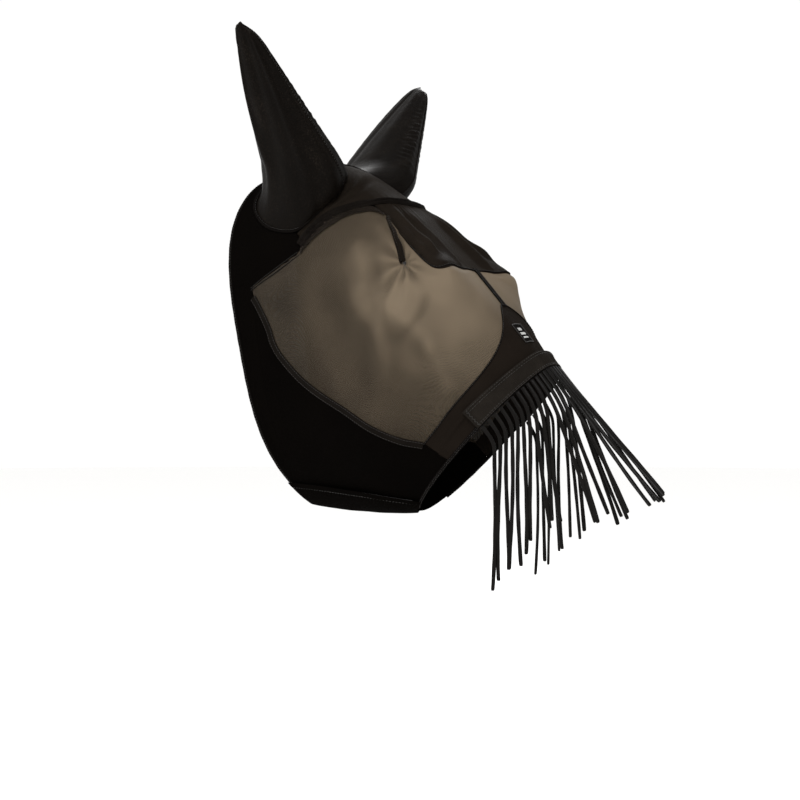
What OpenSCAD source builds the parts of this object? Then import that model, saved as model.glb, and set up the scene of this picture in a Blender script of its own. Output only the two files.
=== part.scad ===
// Horse fly mask with ear covers and a removable nose fringe.
// The mask hangs on a horse's head: +X is forward, +Z is up and +Y is the horse's left.
// The origin is the poll, the top of the head between the ears.
// Every panel is a patch of one head surface, skin(u, w).
//   u runs from the neck edge, 0, to the nose edge, 1.
//   w runs from the top centre line, 0, to the jaw, 1 on the left side and -1 on the right.

/* [Cloth] */
// Thickness of every sewn panel
panel_t = 2; // [1.6:0.1:2.4]
// Thickness of the tapes and strips sewn on the panels
tape_t = 0.8; // [0.6:0.1:1]
// Air left between two layers of cloth
layer_gap = 0.5; // [0.3:0.1:0.6]
// Width of the seam tapes
tape_w = 9; // [6:1:12]
// Width of the rolled bindings at the neck and nose edges
binding_w = 5; // [4:0.5:6]

/* [Ears] */
// Length of an ear cover from its base to its tip
ear_len = 246; // [180:2:250]
// Outward lean of an ear cover, in degrees
ear_lean = 40; // [25:1:42]
// Forward lean of an ear cover, in degrees
ear_pitch = 3; // [0:1:6]
// Half width of an ear cover near its base
ear_half_w = 66; // [58:1:68]
// Half depth of an ear cover near its base
ear_half_d = 36; // [28:1:38]
// Half width of the blunt tip
ear_tip_w = 9; // [6:1:12]

/* [Fringe] */
// Width of the fringe band
band_w = 27; // [22:1:30]
// Thickness of the fringe band
band_t = 2.4; // [1.8:0.1:3]
// Width of one fringe strand
strand_w = 4.75; // [4:0.25:5]
// Thickness of one fringe strand
strand_t = 1.6; // [1.2:0.1:2]

/* [Hidden] */

// Head sections, from the neck edge to the nose edge. Each row is
// top x, top z, jaw x, jaw z, half width, squareness above, squareness below, jaw taper, rearward bow.
SECTIONS = [
    [-101, -14, -30, -428, 80, 3.0, 2.8, 0.25, -46],
    [-6, 2, 2, -432, 88, 2.6, 2.8, 0.25, -24],
    [73, -41, 34, -434, 96, 2.8, 2.7, 0.25, -4],
    [147, -106, 62, -434, 100, 3.0, 2.5, 0.22, 0],
    [211, -173, 88, -434, 82, 2.8, 2.4, 0.16, 0],
    [287, -259, 112, -432, 52, 2.4, 2.3, 0.10, 0]
];
// Depth share at which the sides start to taper towards the jaw
TAPER_FROM = 0.35;
// The darts hold the mesh off each eye as a tent: its place, reach, and rise in mm
TENT_AT = [0.65, 0.22];
TENT_REACH = [0.17, 0.13];
TENT_RISE = [38, 14, 2];
TENT_SHARPNESS = 1.5;

// Corners of the cloth, each [u, |w|]
EYE_TOP = [[0.082, 0.448], [0.155, 0.418], [0.226, 0.381], [0.285, 0.304], [0.340, 0.236], [0.396, 0.186],
    [0.440, 0.180], [0.498, 0.211], [0.540, 0.236], [0.620, 0.250], [0.664, 0.170], [0.698, 0.096],
    [0.712, 0.003], [0.766, 0.003], [0.820, 0.003]];
EYE_LOW = [[0.086, 0.456], [0.150, 0.512], [0.260, 0.552], [0.430, 0.576], [0.620, 0.590], [0.780, 0.585],
    [0.870, 0.566]];
// How far the front edge of the eye mesh bows towards the nose
EYE_BOW = 0.052;
CROWN_FRONT = [[0.156, 0], [0.106, 0.036], [0.063, 0.108], [0.054, 0.190], [0.073, 0.270], [0.129, 0.328],
    [0.200, 0.335], [0.220, 0.376], [0.150, 0.413], [0.082, 0.444]];
POLL_REAR = [[0.161, 0], [0.214, 0.038], [0.281, 0.119], [0.294, 0.200], [0.266, 0.273], [0.212, 0.336]];
BROW_LINE = [[0.440, 0], [0.432, 0.070], [0.396, 0.152], [0.345, 0.222], [0.285, 0.285], [0.226, 0.362]];
FOREHEAD_REAR = [[0.458, 0], [0.450, 0.070], [0.426, 0.132], [0.418, 0.158]];
FOREHEAD_LOW = [[0.702, 0], [0.688, 0.090], [0.652, 0.162], [0.612, 0.234], [0.536, 0.220]];
EAR_LOOP = [[0.160, 0.020], [0.212, 0.044], [0.278, 0.122], [0.290, 0.200], [0.262, 0.272], [0.206, 0.330],
    [0.130, 0.325], [0.075, 0.268], [0.056, 0.190], [0.064, 0.110], [0.104, 0.044]];
DART_LINE = [[0.452, 0.176], [0.500, 0.226], [0.552, 0.282]];
// |w| of the cheek's top edge behind the eye mesh, at the neck and where the mesh starts
CHEEK_REAR = [0.444, 0.450];
// How far the foot of an ear cover's axis is from the middle of its seam
EAR_FOOT = [13, 8.5, -8];
// The left ear cover leans out this many degrees more, and the right one less, as worn
EAR_SWAY = 2;
// How fast the right and the left ear cover narrow towards the tip
EAR_TAPER = [0.86, 0.76];
// Where the right cheek ends and where the jaw flap is sewn to the left cheek
CHEEK_END = 0.880;
FLAP_SEAM = 0.790;
FLAP_START = 0.800;
// The flap wraps under the jaw and ends here on the right cheek, counted past 1
FLAP_TIP = 1.205;
// The flap rises over the right cheek from here, within this much w
LIFT_FROM = 1.03;
LIFT_OVER = 0.065;
// Ends of the fringe band, and the mm of cloth for a whole u at its middle and at its ends
BAND_END = 0.455;
BAND_SCALE = [510, 346];

// Gaps in [u, w] that leave about 1.5 mm between panels
SEAM_U = 0.004;
SEAM_W = 0.003;
// Heights of the outer layers above the inside of the panels
tape_h = panel_t + layer_gap;
hook_h = tape_h + tape_t + layer_gap;
cover_h = hook_h + tape_t + layer_gap;
brow_rise = 4;
brow_w = 13;

// Fringe strands from right to left: share of the band, length, sideways drift, and slope of the free end
// in degrees below level
STRANDS = [
    [-0.97, 198, -2, 90], [-0.91, 194, -2, 90], [-0.85, 188, -2, 90], [-0.79, 194, -1, 90],
    [-0.73, 196, -1, 89], [-0.67, 188, -1, 89], [-0.61, 178, 0, 88], [-0.55, 170, 0, 84],
    [-0.49, 166, 0, 83], [-0.43, 172, 0, 82], [-0.37, 186, 0, 71], [-0.31, 190, 0, 70],
    [-0.25, 186, 0, 68], [-0.19, 196, 0, 60], [-0.13, 204, 0, 51], [-0.07, 206, 0, 50],
    [-0.01, 204, 0, 48], [0.05, 200, 0, 48], [0.11, 206, 0, 49], [0.17, 198, 0, 51],
    [0.24, 196, 0, 66], [0.31, 188, 0, 69], [0.38, 192, 0, 71], [0.45, 186, 0, 83],
    [0.52, 190, 0, 84], [0.59, 182, 0, 85], [0.66, 190, 1, 88], [0.73, 186, 1, 89],
    [0.80, 196, 1, 90], [0.87, 184, 2, 90], [0.94, 192, 2, 90]
];
STRAND_RINGS = 9;
// Slope of the nose line in degrees below level
NOSE_SLOPE = 47;
// Distance from the band over which a strand bends into its line, along the nose and where it hangs free
BEND_OVER = [110, 45];

// ---------- numbers and curves ----------

function unit(v) = v / norm(v);
function mix(a, b, t) = a + (b - a) * t;
function smooth(t) = let(k = min(1, max(0, t))) k * k * (3 - 2 * k);
function power(x, n) = sign(x) * pow(abs(x), 2 / n);
function strand_name(i) = str("strand_", i < 9 ? "0" : "", i + 1);

// The point at t, from 0 to 1, on a smooth curve through the list p
function along(p, t) =
    let(k = min(len(p) - 2, floor(t * (len(p) - 1))), f = t * (len(p) - 1) - k)
    let(a = p[max(0, k - 1)], b = p[k], c = p[k + 1], d = p[min(len(p) - 1, k + 2)])
    0.5 * (2 * b + (c - a) * f + (2 * a - 5 * b + 4 * c - d) * f * f + (3 * b - a - 3 * c + d) * f * f * f);

// The point at t on a smooth closed curve through the list p
function around(p, t) =
    let(n = len(p), k = floor(t * n), f = t * n - k)
    let(a = p[(k + n - 1) % n], b = p[k % n], c = p[(k + 1) % n], d = p[(k + 2) % n])
    0.5 * (2 * b + (c - a) * f + (2 * a - 5 * b + 4 * c - d) * f * f + (3 * b - a - 3 * c + d) * f * f * f);

// A curve of [u, |w|] points on both sides of the top centre line, t = 0 at the right end
function both_sides(p, t) =
    let(q = along(p, abs(2 * t - 1))) [q[0], q[1] * (t < 0.5 ? -1 : 1)];

// ---------- the head surface ----------

function wrapped(w) = w > 1 ? w - 2 : w < -1 ? w + 2 : w;

function tent(u, w) =
    exp(-pow(norm([(u - TENT_AT[0]) / TENT_REACH[0], (abs(w) - TENT_AT[1]) / TENT_REACH[1]]), TENT_SHARPNESS));

function skin(u, w_in) =
    let(w = wrapped(w_in), s = along(SECTIONS, min(1, max(0, u))), turn = abs(w) * 180)
    let(square = turn < 90 ? s[5] : s[6], drop = (1 - power(cos(turn), square)) / 2)
    let(taper = 1 - s[7] * pow(max(0, drop - TAPER_FROM) / (1 - TAPER_FROM), 1.3))
    let(half = s[4] * power(sin(turn), square) * taper, bow = s[8] * (1 - pow(2 * drop - 1, 4)))
    let(rise = TENT_RISE * tent(u, w))
    [
        mix(s[0], s[2], drop) + bow + rise[0],
        (w < 0 ? -1 : 1) * (half + rise[1]),
        mix(s[1], s[3], drop) + rise[2]
    ];

function normal(u, w) =
    let(d = 0.006, u0 = max(0, u - d), u1 = min(1, u + d))
    unit(cross(skin(u1, w) - skin(u0, w), skin(u, w + d) - skin(u, w - d)));

function skin_at(p, h) = skin(p[0], p[1]) + h * normal(p[0], p[1]);

// The unit direction along the cloth towards the nose
function forward(u, w) = unit(skin(min(1, u + 0.01), w) - skin(min(1, u + 0.01) - 0.02, w));

// ---------- general shapes ----------

// A closed slab: p(a, b, k) is a point of its inner face at k = 0 and of its outer face at k = 1
module slab(p, m, n) {
    row = n + 1;
    count = (m + 1) * row;
    points = [for (k = [0, 1], i = [0:m], j = [0:n]) p(i / m, j / n, k)];
    grid = [for (i = [0:m - 1], j = [0:n - 1]) i * row + j];
    inner = [for (g = grid) each [[g, g + row, g + row + 1], [g, g + row + 1, g + 1]]];
    outer = [for (f = inner) [f[2] + count, f[1] + count, f[0] + count]];
    rim = concat(
        [for (j = [0:n - 1]) j],
        [for (i = [0:m - 1]) i * row + n],
        [for (j = [n:-1:1]) m * row + j],
        [for (i = [m:-1:1]) i * row]
    );
    edge = [for (r = [0:len(rim) - 1]) let(a = rim[r], b = rim[(r + 1) % len(rim)])
        each [[a, b, b + count], [a, b + count, a + count]]];
    polyhedron(points, concat(inner, outer, edge), convexity = 8);
}

// A slab on the head: f(a, b) is its [u, w], and it lies from height low to height low + t
module on_head(f, m, n, low, t) {
    slab(function(a, b, k) skin_at(f(a, b), low + k * t), m, n);
}

// A tape on the head: f(a) is the [u, w] of its middle line
module strip(f, m, n, width, low, t) {
    slab(function(a, b, k)
        let(p = f(a), q = f(min(1, a + 0.02)), r = f(max(0, a - 0.02)))
        let(go = unit(skin_at(q, 0) - skin_at(r, 0)), up = normal(p[0], p[1]))
        skin_at(p, low + k * t) + cross(up, go) * (b - 0.5) * width, m, n);
}

// ---------- panels ----------

module crown_panel() {
    color("black")
    on_head(function(a, b)
        let(front = both_sides(CROWN_FRONT, a), rear = [binding_u, front[1]])
        mix(rear, front, b), 28, 4, 0, panel_t);
}

module poll_panel() {
    color("darkslategray")
    on_head(function(a, b)
        let(rear = both_sides(POLL_REAR, a), front = both_sides(BROW_LINE, a))
        mix(rear, front - [SEAM_U, 0], b), 24, 4, 0, panel_t);
}

module forehead_panel() {
    color("darkslategray")
    on_head(function(a, b)
        mix(both_sides(FOREHEAD_REAR, a), both_sides(FOREHEAD_LOW, a), b), 16, 6, 0, panel_t);
}

function eye_front(b) = mix(last(EYE_TOP), last(EYE_LOW), b) + [EYE_BOW * 4 * b * (1 - b), 0];
function last(p) = p[len(p) - 1];

module nose_panel() {
    color("black")
    on_head(function(a, b)
        let(side = abs(2 * a - 1), rear = eye_front(side) + [SEAM_U, 0.6 * SEAM_W])
        let(w = side * (last(EYE_LOW)[1] + 2 * SEAM_W) * (a < 0.5 ? -1 : 1))
        [mix(rear[0], 1 - binding_u, b), w], 24, 5, 0, panel_t);
}

// The cheek panel runs under the eye mesh from the neck edge to the nose edge
module cheek_panel(side, low_edge) {
    color("black")
    on_head(function(a, b)
        let(u = mix(binding_u, 1 - binding_u, a), top = cheek_top(u))
        [u, side * mix(top, low_edge, b)], 24, 7, 0, panel_t);
}

// The |w| of the cheek panel's top edge at u
function cheek_top(u) =
    u < EYE_LOW[0][0] ? mix(CHEEK_REAR[0], CHEEK_REAR[1], u / EYE_LOW[0][0])
    : let(c = [for (k = [0:60]) along(EYE_LOW, k / 60)], after = [for (q = c) if (q[0] >= u) q])
      (len(after) > 0 ? after[0][1] : mix(last(EYE_LOW)[1], 0.575, (u - 0.87) / 0.13)) + 3 * SEAM_W;

module eye_mesh(side) {
    color("dimgray")
    on_head(function(a, b)
        let(p = mix(along(EYE_TOP, a), along(EYE_LOW, a), b))
        [p[0] + EYE_BOW * 4 * b * (1 - b) * pow(a, 6), side * max(SEAM_W, p[1])], 20, 10, 0, panel_t);
}

module brow_band() {
    color("black")
    strip(function(a) both_sides(BROW_LINE, a), 24, 2, brow_w, tape_h, brow_rise);
}

module centre_tape() {
    color("black")
    strip(function(a) [mix(0.700, 0.826, a), 0], 6, 1, 11, tape_h, tape_t);
}

module seam_tape(side) {
    color("dimgray")
    strip(function(a) let(p = along(EYE_LOW, a)) [p[0], side * (p[1] + SEAM_W)], 18, 1, tape_w, tape_h, tape_t);
}

module eye_dart(side) {
    color("black")
    strip(function(a) let(p = along(DART_LINE, a)) [p[0], side * p[1]], 6, 1, 7, tape_h, 2.2);
}

module neck_binding() {
    color("black")
    on_head(function(a, b) [b * (binding_u - SEAM_U), mix(-CHEEK_END, FLAP_SEAM, a)], 48, 1, -0.6, panel_t + 1.4);
}

module nose_binding() {
    color("black")
    on_head(function(a, b)
        [1 - b * (binding_u - SEAM_U), mix(-CHEEK_END, FLAP_SEAM, a)], 48, 1, -0.6, panel_t + 1.2);
}

module badge() {
    color("white")
    on_head(function(a, b) [mix(0.872, 0.916, a), mix(-0.062, 0.004, b)], 4, 4, tape_h, tape_t);
}

// ---------- ear covers ----------

// The seam where an ear cover meets the head
function ear_seam(side, t) = let(p = around(EAR_LOOP, t)) [p[0], side * p[1]];
function ear_middle(side) = let(p = [for (t = [0:0.05:0.95]) skin_at(ear_seam(side, t), 0)])
    [for (k = [0:2]) sum(p, k) / len(p)];
function ear_base(side) = ear_middle(side) + [EAR_FOOT[0], side * EAR_FOOT[1], EAR_FOOT[2]];
function sum(p, k, i = 0) = i < len(p) ? p[i][k] + sum(p, k, i + 1) : 0;
function ear_axis(side) = let(lean = ear_lean + side * EAR_SWAY) [
    sin(ear_pitch),
    side * sin(lean) * cos(ear_pitch),
    cos(lean) * cos(ear_pitch)
];

// A point of an ear cover at height h, 0 to 1, and turn, 0 at its front edge and 90 on its outer face
function ear_point(side, h, turn, inset) =
    let(up = ear_axis(side), wide = unit(cross([0, side, 0], up) * side), deep = cross(up, wide) * side)
    let(base = ear_base(side), middle = base + up * (ear_len * h) + wide * ear_shift(h))
    let(taper = side < 0 ? EAR_TAPER[0] : EAR_TAPER[1])
    let(half_w = mix(ear_tip_w, ear_half_w, pow(1 - h, taper)), half_d = mix(3.6, ear_half_d, pow(1 - h, 0.9)))
    middle + wide * (half_w - inset) * cos(turn) + deep * (half_d - inset) * sin(turn);

// The back edge of an ear cover is the straighter one
function ear_shift(h) = 16 * (1 - h) * (1 - h) - 6 * h;

module ear_cover(side, outer) {
    color([0.1, 0.1, 0.1])
    slab(function(a, b, k)
        ear_point(side, mix(ear_from(mix(6, 174, b)), 1, a), mix(6, 174, b) * outer, 1.6 * (1 - k)),
        10, 8);
}

// The cover starts this high above its base, so that it can tilt without touching the head
function ear_from(turn) = 0.17 + 0.07 * max(0, cos(turn));

module ear_trim(side) {
    color("black")
    slab(function(a, b, k)
        let(p = ear_seam(side, a * 0.995), up = normal(p[0], p[1]))
        skin_at(p, tape_h + k * 3) + unit(skin_at(p, 0) - ear_middle(side)) * (b - 0.5) * 3, 30, 1);
}

// ---------- jaw closure ----------

module jaw_flap() {
    color("black")
    slab(function(a, b, k)
        let(w = mix(FLAP_START, FLAP_TIP, b), lift = cover_h * smooth((w - LIFT_FROM) / LIFT_OVER))
        skin_at([mix(0.008, 0.992, a), w], lift + k * panel_t), 16, 16);
}

module loop_strip() {
    color("dimgray")
    on_head(function(a, b) [mix(0.10, 0.92, a), -mix(0.805, 0.870, b)], 16, 2, tape_h, tape_t);
}

module hook_strip() {
    color("dimgray")
    on_head(function(a, b) [mix(0.10, 0.92, a), -mix(0.800, 0.860, b)], 16, 2, hook_h, tape_t);
}

// ---------- nose fringe ----------

// A layer of the fringe fastening, inset in mm from the outline of the band
module fringe_layer(low, t, inset, end) {
    on_head(function(a, b)
        let(w = mix(-1, 1, a) * (BAND_END - inset / 300), top = 0.998 - band_w / mix(BAND_SCALE[0], BAND_SCALE[1], pow(w / BAND_END, 2)))
        [mix(top + inset / 500, end, b), w], 28, 2, low, t);
}

module fringe_band() {
    color("black")
    fringe_layer(cover_h, band_t, 0, 0.998);
}

module fringe_hook_tape() {
    color("dimgray")
    fringe_layer(hook_h, tape_t, 1.5, 0.984);
}

module fringe_loop_tape() {
    color("dimgray")
    fringe_layer(tape_h, tape_t, 1.5, 0.984);
}

// The root of strand i: where it leaves the lower edge of the band
function strand_w_at(i) = STRANDS[i][0] * BAND_END;
function strand_root(i) = skin_at([1, strand_w_at(i)], cover_h + band_t / 2) + 1 * forward(1, strand_w_at(i));

// The direction of strand i at a distance from its root
function strand_way(i, far) =
    let(s = STRANDS[i], slope = s[3], free = (slope - NOSE_SLOPE) / (90 - NOSE_SLOPE))
    let(lie = forward(1, strand_w_at(i)), hang = unit([cos(slope), s[2] / s[1], -sin(slope)]))
    unit(mix([lie[0], lie[1] * 0.4, lie[2]], hang, smooth(far / mix(BEND_OVER[0], BEND_OVER[1], free))));

function strand_points(i) =
    let(step = STRANDS[i][1] / (STRAND_RINGS - 1), way = [for (k = [0:STRAND_RINGS - 2]) strand_way(i, (k + 0.5) * step)])
    [for (k = 0, p = strand_root(i); k < STRAND_RINGS; p = p + (k < STRAND_RINGS - 1 ? way[k] * step : [0, 0, 0]), k = k + 1) p];

module strand(i) {
    line = strand_points(i);
    face = normal(1, strand_w_at(i));
    color("black")
    slab(function(a, b, k)
        let(n = round(a * (STRAND_RINGS - 1)), p = line[n])
        let(go = unit(line[min(n + 1, STRAND_RINGS - 1)] - line[max(n - 1, 0)]), across = unit(cross(face, go)))
        p + across * (b - 0.5) * strand_w + cross(go, across) * (k - 0.5) * strand_t, STRAND_RINGS - 1, 1);
}

// The share of u that a binding covers at the neck and nose edges
binding_u = binding_w / 400;

crown_panel();
poll_panel();
forehead_panel();
nose_panel();
cheek_panel(-1, CHEEK_END);  // cheek_panel_right
cheek_panel(1, FLAP_SEAM);  // cheek_panel_left
eye_mesh(-1);  // eye_mesh_right
eye_mesh(1);  // eye_mesh_left
brow_band();
centre_tape();
seam_tape(-1);  // seam_tape_right
seam_tape(1);  // seam_tape_left
eye_dart(-1);  // eye_dart_right
eye_dart(1);  // eye_dart_left
ear_trim(-1);  // ear_trim_right
ear_trim(1);  // ear_trim_left
neck_binding();
nose_binding();
badge();
ear_cover(-1, 1);  // ear_outer_right
ear_cover(-1, -1);  // ear_inner_right
ear_cover(1, 1);  // ear_outer_left
ear_cover(1, -1);  // ear_inner_left
jaw_flap();
hook_strip();
loop_strip();
fringe_band();
fringe_hook_tape();
fringe_loop_tape();
for (i = [0:len(STRANDS) - 1]) strand(i);
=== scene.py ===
"""A black horse fly mask: stretch-cloth head shell, see-through eye meshes, ear covers, jaw flap and nose fringe."""
import math

import bpy
import numpy as np
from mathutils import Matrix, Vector


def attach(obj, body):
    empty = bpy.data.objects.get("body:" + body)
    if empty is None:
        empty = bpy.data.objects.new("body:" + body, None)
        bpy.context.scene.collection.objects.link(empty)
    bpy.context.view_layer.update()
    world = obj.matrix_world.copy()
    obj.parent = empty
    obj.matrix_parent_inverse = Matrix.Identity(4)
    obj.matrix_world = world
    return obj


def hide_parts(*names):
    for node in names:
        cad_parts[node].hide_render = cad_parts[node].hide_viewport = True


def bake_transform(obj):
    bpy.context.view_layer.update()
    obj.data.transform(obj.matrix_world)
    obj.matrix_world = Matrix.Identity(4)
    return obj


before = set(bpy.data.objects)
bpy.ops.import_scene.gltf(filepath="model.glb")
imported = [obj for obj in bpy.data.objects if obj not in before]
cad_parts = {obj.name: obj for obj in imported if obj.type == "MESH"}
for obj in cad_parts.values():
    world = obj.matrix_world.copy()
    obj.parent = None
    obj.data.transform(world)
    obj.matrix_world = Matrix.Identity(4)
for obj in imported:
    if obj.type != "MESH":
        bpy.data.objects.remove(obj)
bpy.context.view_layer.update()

MM = 0.001

# ---------------------------------------------------------------- camera, floor and light

LOOK_AT = Vector((0.079, 0.0, -0.296))
CAMERA_TURN = math.radians(30)
CAMERA_FAR = 2.2
VIEW_WIDTH = 1.0
FLOOR_Z = -0.72


def add_camera():
    data = bpy.data.cameras.new("camera")
    data.sensor_width = 36
    data.lens = data.sensor_width * CAMERA_FAR / VIEW_WIDTH
    camera = bpy.data.objects.new("camera", data)
    back = Vector((math.sin(CAMERA_TURN), -math.cos(CAMERA_TURN), 0))
    camera.location = LOOK_AT + back * CAMERA_FAR
    camera.rotation_euler = back.to_track_quat("Z", "Y").to_euler()
    bpy.context.scene.collection.objects.link(camera)
    bpy.context.scene.camera = camera


def add_light(name, place, aim, size, power):
    data = bpy.data.lights.new(name, "AREA")
    data.size = size
    data.energy = power
    light = bpy.data.objects.new(name, data)
    light.location = place
    light.rotation_euler = (Vector(place) - Vector(aim)).to_track_quat("Z", "Y").to_euler()
    bpy.context.scene.collection.objects.link(light)


def add_studio():
    world = bpy.data.worlds.new("studio")
    world.use_nodes = True
    sky = world.node_tree.nodes["Background"]
    sky.inputs["Color"].default_value = (1.0, 0.997, 0.99, 1)
    sky.inputs["Strength"].default_value = 1.015
    bpy.context.scene.world = world
    bpy.context.scene.view_settings.view_transform = "Standard"
    add_light("key", (1.2, -1.9, 1.5), (0.05, 0, -0.15), 0.9, 70)
    add_light("side", (-1.3, -1.6, 0.7), (0, 0, -0.1), 0.6, 26)
    add_light("rim", (-0.6, 1.8, 1.3), (0.05, 0, -0.1), 0.8, 30)
    floor = make_mesh("floor", *disc(9.0, FLOOR_Z, 64))
    floor.data.materials.append(plain("floor_white", (0.97, 0.968, 0.962), 1.0))


# ---------------------------------------------------------------- meshes


def add_uv(mesh, name, values):
    """A UV layer from one pair of numbers for each point."""
    corners = np.empty(len(mesh.loops), int)
    mesh.loops.foreach_get("vertex_index", corners)
    mesh.uv_layers.new(name=name).data.foreach_set("uv", np.asarray(values, float)[corners].ravel())


def make_mesh(name, points, faces, uv=None):
    mesh = bpy.data.meshes.new(name)
    mesh.from_pydata([tuple(p) for p in points], [], [tuple(f) for f in faces])
    if uv is not None:
        add_uv(mesh, "cloth", uv)
    mesh.polygons.foreach_set("use_smooth", [True] * len(mesh.polygons))
    mesh.validate()
    obj = bpy.data.objects.new(name, mesh)
    bpy.context.scene.collection.objects.link(obj)
    return obj


def disc(radius, z, sides):
    turns = [k * math.tau / sides for k in range(sides)]
    return [(radius * math.cos(turn), radius * math.sin(turn), z) for turn in turns], [list(range(sides))]


def grid_faces(rows, columns, close_columns=False):
    """Quads of a grid of points, rows by columns, numbered row by row."""
    i = np.arange(rows - 1)
    j = np.arange(columns if close_columns else columns - 1)
    i, j = np.meshgrid(i, j, indexing="ij")
    k, l = i + 1, (j + 1) % columns
    return np.stack([i * columns + j, k * columns + j, k * columns + l, i * columns + l], -1).reshape(-1, 4)


def slab(name, outer, inner, uv, material):
    """A closed sheet of cloth between two grids of points of the same shape."""
    rows, columns = outer.shape[:2]
    count = rows * columns
    top = grid_faces(rows, columns)
    at = np.arange(count).reshape(rows, columns)
    a = np.concatenate([at[:, 0], at[-1, 1:], at[-2::-1, -1], at[0, -2:0:-1]])
    b = np.roll(a, -1)
    edge = np.stack([a, a + count, b + count, b], -1)
    faces = np.concatenate([top, top[:, ::-1] + count, edge])
    points = np.concatenate([outer.reshape(-1, 3), inner.reshape(-1, 3)])
    obj = make_mesh(name, points, faces, np.concatenate([uv.reshape(-1, 2)] * 2))
    obj.data.materials.append(material)
    return obj


def sweep(line, radius, sides=8, across=None, flat=1.0):
    """Points and faces of a closed tube along line, whose radius may vary. flat squashes it across the side vector."""
    line = np.asarray(line, float)
    go = unit(np.gradient(line, axis=0))
    if across is None:
        across = np.cross(go, np.array([0.31, 0.2, 0.93]))
    across = unit(across - (across * go).sum(-1, keepdims=True) * go)
    up = np.cross(go, across)
    turn = np.arange(sides) * math.tau / sides
    radius = np.broadcast_to(np.asarray(radius, float), len(line))[:, None, None]
    ring = np.cos(turn)[None, :, None] * across[:, None] + flat * np.sin(turn)[None, :, None] * up[:, None]
    points = (line[:, None] + radius * ring).reshape(-1, 3)
    faces = grid_faces(len(line), sides, close_columns=True).tolist()
    faces += [list(range(sides)), list(range(len(line) * sides - 1, (len(line) - 1) * sides - 1, -1))]
    return points, faces


def joined(parts):
    """One list of points and faces from several."""
    points, faces, count = [], [], 0
    for p, f in parts:
        points.append(np.asarray(p, float))
        faces += [[k + count for k in face] for face in f]
        count += len(p)
    return np.concatenate(points), faces


def finish_piece(obj, body, nodes=(), blend=None):
    """Puts a piece on its body and hides the CAD nodes it stands for; with blend it is put on no body, its placement
    only baked into its mesh.
    """
    if blend:
        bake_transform(obj)
    else:
        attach(obj, body)
    if nodes:
        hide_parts(*nodes)
    return obj


def shaped(name, shape, material, body, nodes=(), blend=None):
    """A finished piece from the points and faces of a shape."""
    obj = make_mesh(name, *shape)
    obj.data.materials.append(material)
    return finish_piece(obj, body, nodes, blend)


# ---------------------------------------------------------------- curves and numbers


def unit(v):
    return v / np.maximum(np.linalg.norm(v, axis=-1, keepdims=True), 1e-12)


def mix(a, b, t):
    return a + (b - a) * t


def smooth(t):
    k = np.clip(t, 0, 1)
    return k * k * (3 - 2 * k)


def spline(a, b, c, d, f):
    return 0.5 * (2 * b + (c - a) * f + (2 * a - 5 * b + 4 * c - d) * f**2 + (3 * b - a - 3 * c + d) * f**3)


def along(points, t):
    """The point at t, from 0 to 1, on a smooth curve through points, as in the CAD."""
    p = np.asarray(points, float)
    t = np.asarray(t, float) * (len(p) - 1)
    k = np.clip(np.floor(t).astype(int), 0, len(p) - 2)
    f = (t - k)[..., None]
    return spline(p[np.maximum(k - 1, 0)], p[k], p[k + 1], p[np.minimum(k + 2, len(p) - 1)], f)


def around(points, t):
    """The same on a closed curve."""
    p = np.asarray(points, float)
    n = len(p)
    t = np.asarray(t, float) % 1 * n
    k = np.floor(t).astype(int)
    f = (t - k)[..., None]
    return spline(p[(k - 1) % n], p[k % n], p[(k + 1) % n], p[(k + 2) % n], f)


def both_sides(points, t):
    """A curve of (u, |w|) points across the top centre line, t = 0 at the right end."""
    t = np.asarray(t, float)
    q = along(points, np.abs(2 * t - 1))
    return np.stack([q[..., 0], q[..., 1] * np.where(t < 0.5, -1, 1)], -1)


def ripple(x, y, pitch, seed):
    """Smooth uneven waves between about -1 and 1, the same on every run."""
    total = 0
    for k in range(4):
        turn, size = seed * 2.3 + k * 1.9, pitch * (1 + 0.37 * k)
        total = total + np.sin((x * math.cos(turn) + y * math.sin(turn)) * math.tau / size + seed * 5.1 + k)
    return total / 4


# ---------------------------------------------------------------- the head surface, as in the CAD

SECTIONS = [
    [-101, -14, -30, -428, 80, 3.0, 2.8, 0.25, -46],
    [-6, 2, 2, -432, 88, 2.6, 2.8, 0.25, -24],
    [73, -41, 34, -434, 96, 2.8, 2.7, 0.25, -4],
    [147, -106, 62, -434, 100, 3.0, 2.5, 0.22, 0],
    [211, -173, 88, -434, 82, 2.8, 2.4, 0.16, 0],
    [287, -259, 112, -432, 52, 2.4, 2.3, 0.10, 0],
]
TAPER_FROM = 0.35
TENT_AT = (0.65, 0.22)
TENT_REACH = (0.17, 0.13)
TENT_RISE = (38, 14, 2)
TENT_SHARPNESS = 1.5


def power(x, n):
    return np.sign(x) * np.abs(x) ** (2 / n)


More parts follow.
